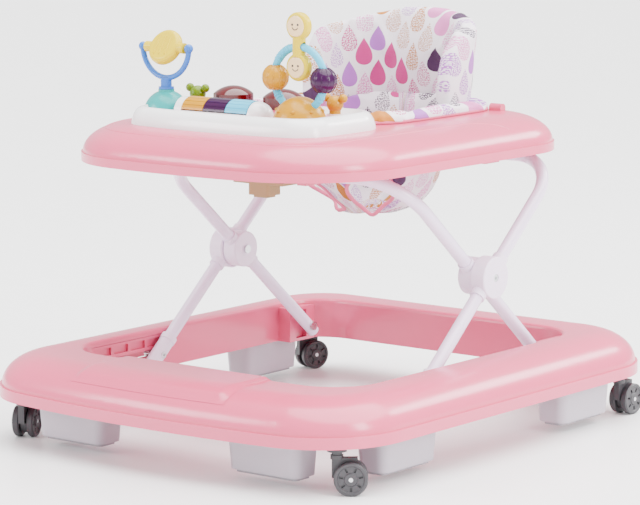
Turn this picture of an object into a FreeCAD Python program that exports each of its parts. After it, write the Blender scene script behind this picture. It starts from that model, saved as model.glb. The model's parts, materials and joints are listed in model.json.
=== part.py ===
"""Folding baby walker: a wheeled base ring, a crossed tube frame, a tray with a seat and a toy panel.

Millimetres. +Z is up, the child faces -Y, +X is the child's left. The origin is on the floor, under the
middle of the base ring. Each function makes one kind of piece; the last section writes one STEP per node.
"""
import FreeCAD, Part
import math
import os
from FreeCAD import Vector

# ---- base ring
BASE_HALF_WIDTH = 299.0
BASE_FRONT = -351.5
BASE_REAR = 351.5
BASE_BOW = 29.0
BASE_FRONT_RADIUS = 112.0
BASE_REAR_RADIUS = 107.0
RING_BOTTOM = 58.0
LIP_TOP = 72.0
RING_TOP = 111.0
DOME_START = 3.0
DOME_WIDTH = 56.0
WALL = 3.0
HOLE_HALF_WIDTH = 223.0
HOLE_FRONT = -240.0
HOLE_REAR = 258.0
HOLE_BOW = 8.0
HOLE_RADIUS = 62.0
PANEL_RAISE = 2.2
PANEL_HALF_WIDTH = 118.0

# ---- crossed frame
TUBE_R = 8.0
TUBE_WALL = 1.2
INNER_X = 191.0
OUTER_X = 211.0
BEND_R = 66.0
PIVOT_Y = 213.0
PIVOT_Z = 80.0
ARM_ANGLE = math.radians(40.86)
LOWER_ARM = 188.0
UPPER_ARM = 203.0
FOOT_OVERHANG = 15.0
PIN_R = 4.0
RUNNING = 0.05

COS = math.cos(ARM_ANGLE)
SIN = math.sin(ARM_ANGLE)
CROSS_Y = PIVOT_Y - LOWER_ARM * COS
CROSS_Z = PIVOT_Z + LOWER_ARM * SIN
SLIDE_Y = CROSS_Y - LOWER_ARM * COS
BAR_Z = CROSS_Z + UPPER_ARM * SIN
FRONT_BAR_Y = CROSS_Y - UPPER_ARM * COS
REAR_BAR_Y = CROSS_Y + UPPER_ARM * COS

# ---- scissor joint
JOINT_R = 26.5
JOINT_SPLIT = 201.0
JOINT_GAP = 0.15
JOINT_INNER_FACE = 180.0
JOINT_OUTER_FACE = 222.4
RIVET_R = 3.0

# ---- tray
TRAY_HALF_WIDTH = 230.5
TRAY_FRONT = -277.0
TRAY_REAR = 257.0
TRAY_BOW = 24.0
TRAY_FRONT_RADIUS = 138.0
TRAY_REAR_RADIUS = 105.0
TRAY_BOTTOM = 350.0
TRAY_LIP_TOP = 361.0
TRAY_TOP = 396.0
TRAY_DOME_WIDTH = 64.0
SEAT_HOLE_HALF_WIDTH = 116.0
SEAT_HOLE_FRONT = -26.0
SEAT_HOLE_REAR = 192.0
SEAT_HOLE_RADIUS = 84.0
SEAT_FLANGE = 14.0

# ---- toy panel
TOY_HALF_WIDTH = 151.0
TOY_FRONT = -219.0
TOY_REAR = -48.0
TOY_BOW = 15.0
TOY_RADIUS = 46.0
TOY_RIM_TOP = 417.0
TOY_FLOOR = 408.0
TOY_SKIN = 3.0

# ---- casters
WHEEL_R = 20.0
WHEEL_WIDTH = 9.0
WHEEL_GAP = 9.0
AXLE_R = 2.5
STEM_R = 6.0
TRAIL = 16.0
CASTERS = {
    "front_left": (250.0, -283.0, 38.0),
    "front_right": (-250.0, -283.0, 115.0),
    "rear_left": (263.0, 288.0, 88.0),
    "rear_right": (-263.0, 288.0, 70.0),
}

# ---- stoppers: middle in x and y, and the way their long side runs
STOPPER_LENGTH = 110.0
STOPPER_WIDTH = 47.0
STOPPER_BOTTOM = 12.0
STOPPER_TOP = 57.8
STOPPER_RADIUS = 13.0
STOPPER_TAPER = 3.0
STOPPERS = {
    "front_left": (153.0, -281.0, "x"),
    "front_right": (-153.0, -281.0, "x"),
    "side_left": (247.0, -165.0, "y"),
    "side_right": (-247.0, -165.0, "y"),
    "rear_left": (256.0, 192.0, "y"),
    "rear_right": (-256.0, 192.0, "y"),
}

# ---- caster sockets and the feet's tracks
SOCKET_TOP = 76.0
SOCKET_BOTTOM = 51.0
TRACK_FRONT = -206.0
TRACK_REAR = -44.0
TRACK_BOTTOM = 60.0
TRACK_TOP = 103.0
TRACK_DEPTH = 10.0
SLIDE_PIN_R = 4.5
ENTRY_R = 8.0

# ---- pivot blocks
BLOCK_FRONT = 188.0
BLOCK_REAR = 240.0
BLOCK_BOTTOM = 58.0
BLOCK_TOP = 104.0
BLOCK_FACE = 202.0

# ---- tray fittings
PEG_X = 140.0
PEG_Y = 188.0
PEG_R = 5.5
CLAMP_X = 92.0
CLAMP_HALF = 16.0

# ---- front guides, latch
GUIDE_X = 62.0
GUIDE_WIDTH = 14.0
GUIDE_FRONT = -192.0
GUIDE_REAR = -68.0
GUIDE_LIP_FRONT = -112.0
GUIDE_LIP = 2.5
GUIDE_CLEAR = 0.6
GUIDE_END = 5.0
LATCH_REACH = 38.0
LATCH_HALF = 16.5
LATCH_DEPTH = 26.0
LATCH_FLANGE_HALF = 39.0
LATCH_SADDLE_HALF = 22.0
LATCH_WALL = 13.0
LATCH_BOTTOM = 309.0
LATCH_TRAVEL = 3.0

# ---- where the toys stand
TOY_ROW_Y = -147.0
BACK_ROW_Y = -86.0
TEAL_X = -124.0
PIANO_LEFT = -95.0
PIANO_RIGHT = 43.0
RING_X = 88.0
RED_X = (-67.0, 13.0)
GREEN_X = -122.0
BUTTON_Y = -90.0
ORANGE_X = 97.0

# ---- spinner toy
DOME_TOP = TOY_FLOOR + 26.0
TEAL_POST_R = 6.0
YOKE_R = 37.5
YOKE_BAR_R = 3.5
YOKE_BALL_R = 5.6
SPIN_Z = TOY_FLOOR + 78.5
SPIN_AXLE_R = 2.0
SPINNER_R = 23.0
SPINNER_HALF = 7.0
SPINNER_TILT = -32.0
ROLLER_R = 6.6
ROLLER_HALF = 31.0

# ---- piano keys
PIANO_R = 20.0
PIANO_WELL_DEPTH = 7.5
KEY_LENGTH = 34.0
KEY_GAP = 0.8
KEY_START = 12.0
KEY_COUNT = 3
KEY_RISE = 0.9
KEY_THICK = 4.5
KEY_ANGLES = (78.0, 162.0)
KEY_SIDE_ANGLE = 4.5
KEY_GROOVES = 4

# ---- ring toy
RING_BASE_R = 32.5
RING_BASE_HEIGHT = 30.0
BUMP_COUNT = 8
BUMP_R = 2.4
BUMP_RING_R = 28.6
BUMP_Z = TOY_FLOOR + 13.5
RING_R = 38.5
RING_BAR_R = 4.5
RING_CENTRE_Z = TOY_FLOOR + 51.0
RING_OPEN = 33.0
BALL_R = 16.0
BALL_BORE = RING_BAR_R + 1.9
BALL_SHIFT = 1.65
BALL_SIDES = {"orange": -1.0, "purple": 1.0}
FIGURE_Z = RING_CENTRE_Z + RING_R
LOBE_R = 16.7
LOBE_HALF = 6.5
LOBE_REACH = 24.5
FIGURE_NECK_R = 8.0
FIGURE_BORE = 5.6

# ---- eared buttons
BUTTON_STEM_R = 7.0
BUTTON_HEAD_R = 10.3
BUTTON_TRAVEL = 3.0

# ---- seat and backrest
SEAT_BOTTOM = 262.0
SEAT_MID_Y = 84.0
SEAT_THICK = 4.0
HOOK_YS = (10.0, 92.0, 150.0)
BACK_RISE = 521.0
BACK_BOTTOM = TRAY_TOP + 2.0
BACK_HALF = 122.0
BACK_THICK = 22.0
WING_FRONT = 112.0
BACK_Y = 236.0


# ------------------------------------------------------------------ shared shapes
def arc_edge(centre, radius, start, end):
    """Arc in a level plane from one angle to another, both in degrees, anticlockwise."""
    middle = (start + end) / 2.0

    def at(angle):
        turn = math.radians(angle)
        return centre + Vector(radius * math.cos(turn), radius * math.sin(turn), 0)

    return Part.Arc(at(start), at(middle), at(end)).toShape()


def outline(half_width, front, rear, bow, front_radius, rear_radius, inset, height):
    """Closed level wire: straight sides and rear, a front that bows out, and tangent round corners.

    front is the foremost point, and bow is how far the front arc falls back over the half width. Every arc
    keeps its centre when inset, so outlines are parallel.
    """
    corner_x = half_width - front_radius
    bow_radius = (half_width * half_width + bow * bow) / (2.0 * bow)
    bow_centre_y = front + bow_radius
    reach = bow_radius - front_radius
    corner_y = bow_centre_y - math.sqrt(reach * reach - corner_x * corner_x)
    turn = math.degrees(math.atan2(corner_y - bow_centre_y, corner_x))
    side = half_width - inset
    back = rear - inset
    radius_f = front_radius - inset
    radius_r = rear_radius - inset
    rear_y = rear - rear_radius
    rear_x = half_width - rear_radius
    edges = [
        arc_edge(Vector(0, bow_centre_y, height), bow_radius - inset, -180.0 - turn, turn),
        arc_edge(Vector(corner_x, corner_y, height), radius_f, turn, 0.0),
        Part.makeLine(Vector(side, corner_y, height), Vector(side, rear_y, height)),
        arc_edge(Vector(rear_x, rear_y, height), radius_r, 0.0, 90.0),
        Part.makeLine(Vector(rear_x, back, height), Vector(-rear_x, back, height)),
        arc_edge(Vector(-rear_x, rear_y, height), radius_r, 90.0, 180.0),
        Part.makeLine(Vector(-side, rear_y, height), Vector(-side, corner_y, height)),
        arc_edge(Vector(-corner_x, corner_y, height), radius_f, 180.0, 180.0 - turn),
    ]
    return Part.Wire(Part.__sortEdges__(edges))


def base_outline(inset, height):
    return outline(BASE_HALF_WIDTH, BASE_FRONT, BASE_REAR, BASE_BOW,
                   BASE_FRONT_RADIUS, BASE_REAR_RADIUS, inset, height)


def base_hole(inset, height):
    return outline(HOLE_HALF_WIDTH, HOLE_FRONT, HOLE_REAR, HOLE_BOW, HOLE_RADIUS, HOLE_RADIUS, inset,
                   height)


def tray_outline(inset, height):
    return outline(TRAY_HALF_WIDTH, TRAY_FRONT, TRAY_REAR, TRAY_BOW,
                   TRAY_FRONT_RADIUS, TRAY_REAR_RADIUS, inset, height)


def seat_hole(inset, height):
    return outline(SEAT_HOLE_HALF_WIDTH, SEAT_HOLE_FRONT, SEAT_HOLE_REAR, 6.0,
                   SEAT_HOLE_RADIUS - 30.0, SEAT_HOLE_RADIUS, inset, height)


def toy_outline(inset, height):
    return outline(TOY_HALF_WIDTH, TOY_FRONT, TOY_REAR, TOY_BOW, TOY_RADIUS, TOY_RADIUS, inset, height)


def prism(wire, rise):
    return Part.Face(wire).extrude(Vector(0, 0, rise))


def domed(wire_at, lip_inset, lip_bottom, lip_top, dome_inset, dome_width, top, steps=6):
    """Upright lip band with a quarter-ellipse dome above it, closed flat at the top."""
    lip = prism(wire_at(lip_inset, lip_bottom), lip_top - lip_bottom)
    stations = []
    for step in range(steps + 1):
        turn = math.radians(90.0 * step / steps)
        inset = dome_inset + dome_width * (1.0 - math.cos(turn))
        stations.append(wire_at(inset, lip_top + (top - lip_top) * math.sin(turn)))
    dome = Part.makeLoft(stations, True, False)
    return lip.fuse(dome)


def cylinder(radius, start, end):
    """Round bar between two points."""
    run = Vector(*end) - Vector(*start)
    return Part.makeCylinder(radius, run.Length, Vector(*start), run)


def tube_ring(outer, inner, start, end):
    return cylinder(outer, start, end).cut(cylinder(inner, start, end))


def rounded_box(size_x, size_y, size_z, centre, radius):
    """Upright box standing on centre, with round vertical corners."""
    box = Part.makeBox(size_x, size_y, size_z,
                       Vector(centre[0] - size_x / 2, centre[1] - size_y / 2, centre[2]))
    upright = [e for e in box.Edges if abs(e.tangentAt(e.FirstParameter).z) > 0.9]
    return box.makeFillet(radius, upright)


def box_between(low, high):
    return Part.makeBox(high[0] - low[0], high[1] - low[1], high[2] - low[2], Vector(*low))


def mirrored(shape):
    return shape.mirror(Vector(0, 0, 0), Vector(1, 0, 0))


def both_sides(shape):
    """The piece on +X and its mirror image on -X, as separate solids of one node."""
    return Part.makeCompound([shape, mirrored(shape)])


def lathe(points, centre, axis=(0, 0, 1)):
    """Solid of revolution from (radius, height) points, standing on centre along axis."""
    face = Part.Face(Part.makePolygon([Vector(r, 0, h) for r,
                                       h in points] + [Vector(points[0][0], 0, points[0][1])]))
    solid = face.revolve(Vector(0, 0, 0), Vector(0, 0, 1), 360)
    turn = FreeCAD.Rotation(Vector(0, 0, 1), Vector(*axis))
    solid.Placement = FreeCAD.Placement(Vector(*centre), turn)
    return solid


# ------------------------------------------------------------------ base
def boss(x, y, radius, bottom):
    """Round post moulded under the ring's top skin."""
    return cylinder(radius, (x, y, bottom), (x, y, RING_TOP - 2.5))


def stopper_posts(x, y, way):
    reach = STOPPER_LENGTH / 2 - 24.0
    step = (reach, 0) if way == "x" else (0, reach)
    return [(x - step[0], y - step[1]), (x + step[0], y + step[1])]


def make_base_ring():
    outer = domed(base_outline, 0.0, RING_BOTTOM, LIP_TOP, DOME_START, DOME_WIDTH, RING_TOP)
    cavity = domed(base_outline, WALL, RING_BOTTOM - 1, LIP_TOP - WALL, DOME_START + WALL,
                   DOME_WIDTH, RING_TOP - WALL)
    hole = prism(base_hole(0.0, RING_BOTTOM - 2), RING_TOP)
    inner_wall = prism(base_hole(-WALL, RING_BOTTOM - 2), RING_TOP)
    edge_round = 5.0
    flare = []
    for step in range(4):
        turn = math.radians(30.0 * step)
        grow = edge_round * (1.0 - math.cos(turn))
        flare.append(base_hole(-grow, RING_TOP - edge_round + edge_round * math.sin(turn)))
    flare.append(base_hole(-edge_round - 1.0, RING_TOP + 1.0))
    rounding = Part.makeLoft(flare, True, True)
    ring = outer.cut(cavity.cut(inner_wall)).cut(hole).cut(rounding)
    posts = []
    for x, y, way in STOPPERS.values():
        posts += [boss(px, py, 7.0, STOPPER_TOP) for px, py in stopper_posts(x, y, way)]
    for x, y, _ in CASTERS.values():
        posts.append(boss(x, y, 10.0, SOCKET_TOP))
    ring = ring.fuse([post.common(outer) for post in posts])
    for side in (1, -1):
        low_x = min(side * (HOLE_HALF_WIDTH - 1), side * (HOLE_HALF_WIDTH + WALL + 8))
        window = box_between((low_x, TRACK_FRONT, TRACK_BOTTOM),
                             (low_x + WALL + 9, TRACK_REAR, TRACK_TOP))
        ring = ring.cut(window)
    raised = prism(outline(PANEL_HALF_WIDTH, BASE_FRONT + 44, HOLE_FRONT + 2, 6.0, 26.0, 14.0,
                           0.0, RING_TOP - 1.0), PANEL_RAISE + 1.0)
    rim_edges = [e for e in raised.Edges if abs(e.BoundBox.ZMin - (RING_TOP + PANEL_RAISE)) < 0.01]
    raised = raised.makeFillet(1.6, rim_edges).cut(hole)
    return ring.fuse(raised).removeSplitter()


def make_track_plate():
    """Slotted plate that lets the outer frame's feet slide fore and aft, with rows of shallow pockets."""
    inner = HOLE_HALF_WIDTH - 0.5
    clear = 0.4
    plate = box_between((inner, TRACK_FRONT + clear, TRACK_BOTTOM + clear),
                        (inner + TRACK_DEPTH, TRACK_REAR - clear, TRACK_TOP - clear))
    slot_half = SLIDE_PIN_R + 0.4
    slot_front = TRACK_FRONT + 16.0
    slot_rear = SLIDE_Y + 12.0
    through = TRACK_DEPTH + 2
    slot = box_between((inner - 1, slot_front, PIVOT_Z - slot_half),
                       (inner - 1 + through, slot_rear, PIVOT_Z + slot_half))
    entry = cylinder(ENTRY_R, (inner - 1, slot_front, PIVOT_Z), (inner - 1 + through, slot_front, PIVOT_Z))
    plate = plate.cut(slot).cut(entry)
    pocket_length = 27.0
    pocket_pitch = 32.0
    for index in range(4):
        y = slot_front + 15.0 + pocket_pitch * index
        for low, high in ((PIVOT_Z + 9.0, TRACK_TOP - 4.0), (TRACK_BOTTOM + 3.5, PIVOT_Z - 9.0)):
            pocket = box_between((inner - 1, y, low), (inner + 4.0, y + pocket_length, high))
            plate = plate.cut(pocket)
    return plate


def make_pivot_block():
    """Boxy boss on the ring's inner wall that carries the inner frame's pivot pin."""
    block = box_between((BLOCK_FACE, BLOCK_FRONT, BLOCK_BOTTOM), (HOLE_HALF_WIDTH, BLOCK_REAR, BLOCK_TOP))
    block = block.common(prism(base_hole(0.0, BLOCK_BOTTOM), BLOCK_TOP))
    block = block.cut(cylinder(PIN_R, (BLOCK_FACE - 1, PIVOT_Y, PIVOT_Z),
                               (BLOCK_FACE + 18, PIVOT_Y, PIVOT_Z)))
    recess_depth = 6.0
    for low, high in (((PIVOT_Y - 12, PIVOT_Z + 10), (PIVOT_Y + 10, BLOCK_TOP - 4)),
                      ((PIVOT_Y - 12, BLOCK_BOTTOM + 4), (PIVOT_Y + 10, PIVOT_Z - 9))):
        block = block.cut(box_between((BLOCK_FACE - 1, low[0], low[1]),
                                      (BLOCK_FACE + recess_depth, high[0], high[1])))
    return block


def make_pivot_pin():
    """Headed steel pin through the inner tube's foot, pressed into the pivot block."""
    head_face = INNER_X - TUBE_R - 0.4
    shank = cylinder(PIN_R, (head_face, PIVOT_Y, PIVOT_Z), (BLOCK_FACE + 17, PIVOT_Y, PIVOT_Z))
    head = cylinder(6.5, (head_face - 2.5, PIVOT_Y, PIVOT_Z), (head_face, PIVOT_Y, PIVOT_Z))
    return shank.fuse(head)


def make_stopper(x, y, way):
    """Tapered friction block under the ring, hollow, with round corners."""
    def section(shrink, z, radius):
        size = (STOPPER_LENGTH, STOPPER_WIDTH) if way == "x" else (STOPPER_WIDTH, STOPPER_LENGTH)
        box = rounded_box(size[0] - 2 * shrink, size[1] - 2 * shrink, 1.0, (x, y, z), radius)
        flat = [f for f in box.Faces if f.BoundBox.ZLength < 0.01 and abs(f.BoundBox.ZMin - z) < 0.01]
        return flat[0].OuterWire

    low = STOPPER_BOTTOM + 2.0
    skin = 3.0
    body = Part.makeLoft([section(STOPPER_TAPER, low, STOPPER_RADIUS - 1.5),
                          section(0.0, STOPPER_TOP, STOPPER_RADIUS)], True, True)
    hollow = Part.makeLoft([section(STOPPER_TAPER + skin, low + 4.0, STOPPER_RADIUS - 4.5),
                            section(skin, STOPPER_TOP - skin, STOPPER_RADIUS - 3.75)], True, True)
    return body.cut(hollow)


def make_stopper_pad(x, y, way):
    """Rubber grip pad on the stopper's underside; it clears the floor while all four wheels touch."""
    inset = STOPPER_TAPER + 6.0
    size = (STOPPER_LENGTH, STOPPER_WIDTH) if way == "x" else (STOPPER_WIDTH, STOPPER_LENGTH)
    return rounded_box(size[0] - 2 * inset, size[1] - 2 * inset, 4.0, (x, y, STOPPER_BOTTOM - 2.0), 6.0)


def make_caster_socket(x, y):
    """Bush that holds a caster's stem under the ring."""
    bush = tube_ring(10.0, STEM_R + RUNNING, (x, y, SOCKET_BOTTOM), (x, y, SOCKET_TOP))
    flange = tube_ring(11.5, STEM_R + RUNNING, (x, y, SOCKET_BOTTOM), (x, y, SOCKET_BOTTOM + 3.0))
    return bush.fuse(flange)


# ------------------------------------------------------------------ casters
def caster_frame(x, y, heading):
    """Unit trail direction, unit axle direction and wheel centre of one caster."""
    turn = math.radians(heading)
    trail = Vector(math.cos(turn), math.sin(turn), 0)
    across = Vector(math.sin(turn), -math.cos(turn), 0)
    centre = Vector(x, y, WHEEL_R) + trail * TRAIL
    return trail, across, centre


def make_caster_body(x, y, heading):
    """Stem above the wheels and a web between them that carries the axle, in one moulding."""
    _, across, centre = caster_frame(x, y, heading)
    web_half = WHEEL_GAP / 2 - 0.5
    over_wheels = 2 * WHEEL_R + 2.0
    stem = cylinder(STEM_R, (x, y, over_wheels), (x, y, SOCKET_TOP - 3.0))
    collar = cylinder(STEM_R + 1.5, (x, y, over_wheels), (x, y, SOCKET_BOTTOM - 4.0))
    disc = cylinder(WHEEL_R - 5.0, tuple(centre - across * web_half), tuple(centre + across * web_half))
    web = box_between((-STEM_R, -web_half, WHEEL_R), (TRAIL + 8.0, web_half, over_wheels + 2.0))
    web.rotate(Vector(0, 0, 0), Vector(0, 0, 1), heading)
    web.translate(Vector(x, y, 0))
    bore = cylinder(AXLE_R + RUNNING, tuple(centre - across * 20), tuple(centre + across * 20))
    return stem.fuse([collar, disc, web]).removeSplitter().cut(bore)


def make_wheels(x, y, heading):
    """Twin wheels, one each side of the web, with a hub and a ring of slots in the outer face."""
    _, across, centre = caster_frame(x, y, heading)
    start = WHEEL_GAP / 2 + 0.3
    crown = 1.5
    wheels = []
    for way in (1, -1):
        points = [
            (AXLE_R, 0.0), (WHEEL_R - crown, 0.0), (WHEEL_R, crown), (WHEEL_R, WHEEL_WIDTH - crown),
            (WHEEL_R - crown, WHEEL_WIDTH), (WHEEL_R - 4.0, WHEEL_WIDTH),
            (WHEEL_R - 5.0, WHEEL_WIDTH - 1.2),
            (8.0, WHEEL_WIDTH - 1.2), (7.0, WHEEL_WIDTH), (AXLE_R, WHEEL_WIDTH),
        ]
        wheel = lathe(points, (0, 0, 0))
        for index in range(7):
            spoke = Part.makeBox(5.0, 2.6, 3.0, Vector(9.2, -1.3, WHEEL_WIDTH - 3.2))
            spoke.rotate(Vector(0, 0, 0), Vector(0, 0, 1), index * 360.0 / 7.0)
            wheel = wheel.cut(spoke)
        turn = FreeCAD.Rotation(Vector(0, 0, 1), across * way)
        wheel.Placement = FreeCAD.Placement(centre + across * (way * start), turn)
        wheels.append(wheel)
    return Part.makeCompound(wheels)


def make_axle(x, y, heading):
    _, across, centre = caster_frame(x, y, heading)
    half = WHEEL_GAP / 2 + 0.3 + WHEEL_WIDTH + 0.6
    return cylinder(AXLE_R, tuple(centre - across * half), tuple(centre + across * half))


# ------------------------------------------------------------------ crossed frame
def arm_point(y, z, along, direction):
    """Point on an arm's line at a distance along it; direction is +1 for rising to the rear."""
    return y + direction * along * COS, z + along * SIN


def u_tube(x, foot_y, direction):
    """Bent U-tube: two parallel legs from the feet up to a cross bar, in one tilted plane."""
    def at(px, along):
        y, z = arm_point(foot_y, PIVOT_Z, along, direction)
        return Vector(px, y, z)

    length = LOWER_ARM + UPPER_ARM
    low = -FOOT_OVERHANG
    mid = BEND_R * (1.0 - math.sqrt(0.5))
    edges = [
        Part.makeLine(at(x, low), at(x, length - BEND_R)),
        Part.Arc(at(x, length - BEND_R), at(x - mid, length - mid), at(x - BEND_R, length)).toShape(),
        Part.makeLine(at(x - BEND_R, length), at(BEND_R - x, length)),
        Part.Arc(at(BEND_R - x, length), at(mid - x, length - mid), at(-x, length - BEND_R)).toShape(),
        Part.makeLine(at(-x, length - BEND_R), at(-x, low)),
    ]
    spine = Part.Wire(edges)
    axis = at(x, 1.0) - at(x, 0.0)
    outer = Part.Wire(Part.makeCircle(TUBE_R, at(x, low), axis))
    bore = Part.Wire(Part.makeCircle(TUBE_R - TUBE_WALL, at(x, low), axis))
    skin = spine.makePipeShell([outer], True, False)
    core = spine.makePipeShell([bore], True, False)
    return skin.cut(core)


def drill(shape, radius, y, z):
    """Hole along X through both legs."""
    return shape.cut(cylinder(radius, (-260, y, z), (260, y, z)))


def make_inner_tube():
    tube = u_tube(INNER_X, PIVOT_Y, -1)
    tube = drill(tube, PIN_R + RUNNING, PIVOT_Y, PIVOT_Z)
    return drill(tube, RIVET_R + RUNNING, CROSS_Y, CROSS_Z)


def make_outer_tube():
    tube = u_tube(OUTER_X, SLIDE_Y, 1)
    tube = drill(tube, SLIDE_PIN_R, SLIDE_Y, PIVOT_Z)
    return drill(tube, RIVET_R, CROSS_Y, CROSS_Z)


def joint_half(inner, outer, radius, tube_x, direction, hole_r):
    """Round plastic clamp on one tube at the crossing, with short sleeves along the tube."""
    disc = cylinder(radius, (inner, CROSS_Y, CROSS_Z), (outer, CROSS_Y, CROSS_Z))
    rim = [e for e in disc.Edges if e.BoundBox.XLength < 0.01 and e.Closed]
    disc = disc.makeFillet(2.0, rim)
    sleeve_half = radius + 7.0
    y0, z0 = arm_point(CROSS_Y, CROSS_Z, -sleeve_half, direction)
    y1, z1 = arm_point(CROSS_Y, CROSS_Z, sleeve_half, direction)
    sleeve_r = min(tube_x - inner, outer - tube_x, TUBE_R + 2.2)
    sleeve = cylinder(sleeve_r, (tube_x, y0, z0), (tube_x, y1, z1))
    y2, z2 = arm_point(CROSS_Y, CROSS_Z, -60.0, direction)
    y3, z3 = arm_point(CROSS_Y, CROSS_Z, 60.0, direction)
    body = disc.fuse(sleeve).cut(cylinder(TUBE_R, (tube_x, y2, z2), (tube_x, y3, z3)))
    body = body.cut(cylinder(hole_r, (inner - 1, CROSS_Y, CROSS_Z), (outer + 1, CROSS_Y, CROSS_Z)))
    return body


def make_inner_joint():
    return joint_half(JOINT_INNER_FACE, JOINT_SPLIT - JOINT_GAP, JOINT_R - 3.0, INNER_X, -1,
                      RIVET_R + RUNNING)


def make_outer_joint():
    half = joint_half(JOINT_SPLIT + JOINT_GAP, JOINT_OUTER_FACE, JOINT_R, OUTER_X, 1, RIVET_R)
    counterbore = cylinder(5.2, (JOINT_OUTER_FACE - 3.0, CROSS_Y, CROSS_Z),
                           (JOINT_OUTER_FACE + 1, CROSS_Y, CROSS_Z))
    return half.cut(counterbore)


def make_joint_rivet():
    """Shouldered screw through the crossing, with a socket in its outer head."""
    shank = cylinder(RIVET_R, (JOINT_INNER_FACE - 0.4, CROSS_Y, CROSS_Z),
                     (JOINT_OUTER_FACE - 3.0, CROSS_Y, CROSS_Z))
    head = cylinder(5.1, (JOINT_OUTER_FACE - 3.0, CROSS_Y, CROSS_Z),
                    (JOINT_OUTER_FACE - 0.6, CROSS_Y, CROSS_Z))
    nut = cylinder(5.5, (JOINT_INNER_FACE - 3.0, CROSS_Y, CROSS_Z),
                   (JOINT_INNER_FACE - 0.4, CROSS_Y, CROSS_Z))
    socket = box_between((JOINT_OUTER_FACE - 2.2, CROSS_Y - 1.6, CROSS_Z - 1.6),
                         (JOINT_OUTER_FACE, CROSS_Y + 1.6, CROSS_Z + 1.6))
    return shank.fuse([head, nut]).cut(socket)


def make_slide_foot():
    """Plastic cap over the outer tube's lower end."""
    y0, z0 = arm_point(SLIDE_Y, PIVOT_Z, -FOOT_OVERHANG - 3.0, 1)
    y1, z1 = arm_point(SLIDE_Y, PIVOT_Z, 30.0, 1)
    y2, z2 = arm_point(SLIDE_Y, PIVOT_Z, -FOOT_OVERHANG, 1)
    y3, z3 = arm_point(SLIDE_Y, PIVOT_Z, 22.0, 1)
    y4, z4 = arm_point(SLIDE_Y, PIVOT_Z, 40.0, 1)
    cap = cylinder(TUBE_R + 1.8, (OUTER_X, y0, z0), (OUTER_X, y1, z1))
    cap = cap.fuse(cylinder(TUBE_R + 2.6, (OUTER_X, y3, z3), (OUTER_X, y1, z1)))
    cap = cap.cut(cylinder(TUBE_R, (OUTER_X, y2, z2), (OUTER_X, y4, z4)))
    return cap.cut(cylinder(SLIDE_PIN_R, (OUTER_X - 20, SLIDE_Y, PIVOT_Z),
                            (OUTER_X + 20, SLIDE_Y, PIVOT_Z)))


def make_slide_pin():
    """Pin through the foot that runs in the base track."""
    inner_end = OUTER_X - TUBE_R - 2.4
    pin = cylinder(SLIDE_PIN_R, (inner_end, SLIDE_Y, PIVOT_Z),
                   (HOLE_HALF_WIDTH + TRACK_DEPTH - 1.5, SLIDE_Y, PIVOT_Z))
    socket = box_between((inner_end - 1, SLIDE_Y - 1.5, PIVOT_Z - 1.5),
                         (inner_end + 2, SLIDE_Y + 1.5, PIVOT_Z + 1.5))
    return pin.cut(socket)


# ------------------------------------------------------------------ tray
def make_tray_shell():
    outer = domed(tray_outline, 0.0, TRAY_BOTTOM, TRAY_LIP_TOP, 2.0, TRAY_DOME_WIDTH, TRAY_TOP)
    cavity = domed(tray_outline, WALL, TRAY_BOTTOM - 1, TRAY_LIP_TOP - WALL, 2.0 + WALL,
                   TRAY_DOME_WIDTH, TRAY_TOP - WALL)
    hole = prism(seat_hole(0.0, TRAY_TOP - 40), 60.0)
    flange = prism(seat_hole(-WALL, TRAY_TOP - SEAT_FLANGE), SEAT_FLANGE)
    shell = outer.cut(cavity).fuse(flange).cut(hole)
    return shell.removeSplitter()


def make_rear_peg():
    """Half-sunk barrel peg on the tray's rear shoulder."""
    low = (PEG_X - 9, PEG_Y, TRAY_TOP + 3.5)
    high = (PEG_X + 9, PEG_Y, TRAY_TOP + 3.5)
    barrel = cylinder(PEG_R, low, high)
    foot = box_between((PEG_X - 9, PEG_Y - PEG_R, TRAY_TOP), (PEG_X + 9, PEG_Y + PEG_R, TRAY_TOP + 3.5))
    below = box_between((PEG_X - 20, PEG_Y - 20, TRAY_TOP - 20), (PEG_X + 20, PEG_Y + 20, TRAY_TOP))
    return barrel.fuse(foot).cut(below)


def make_rear_clamp():
    """Saddle under the tray that the outer frame's bar turns in."""
    body = rounded_box(CLAMP_HALF * 2, 34.0, TRAY_TOP - WALL - (BAR_Z - 13.0),
                       (CLAMP_X, REAR_BAR_Y, BAR_Z - 13.0), 4.0)
    shell_inside = domed(tray_outline, WALL, TRAY_BOTTOM - 60, TRAY_LIP_TOP - WALL, 2.0 + WALL,
                         TRAY_DOME_WIDTH, TRAY_TOP - WALL)
    body = body.common(shell_inside)
    seat_side = prism(seat_hole(-WALL - 0.5, TRAY_BOTTOM - 60), 200.0)
    body = body.cut(seat_side)
    return body.cut(cylinder(TUBE_R + RUNNING, (0, REAR_BAR_Y, BAR_Z), (200, REAR_BAR_Y, BAR_Z)))


def make_front_guide():
    """Hooked rail under the tray that the front bar slides along; its lower lip stops short in front."""
    low_x = GUIDE_X - GUIDE_WIDTH / 2
    high_x = GUIDE_X + GUIDE_WIDTH / 2
    half = TUBE_R + GUIDE_CLEAR
    lip_bottom = BAR_Z - half - GUIDE_LIP
    rail = box_between((low_x, GUIDE_FRONT, lip_bottom), (high_x, GUIDE_REAR, TRAY_TOP - WALL))
    open_front = box_between((low_x - 1, GUIDE_FRONT - 1, lip_bottom - 1),
                             (high_x + 1, GUIDE_LIP_FRONT, BAR_Z + half))
    slot = box_between((low_x - 1, GUIDE_LIP_FRONT - 1, BAR_Z - half),
                       (high_x + 1, GUIDE_REAR - GUIDE_END, BAR_Z + half))
    return rail.cut(open_front).cut(slot)


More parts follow.
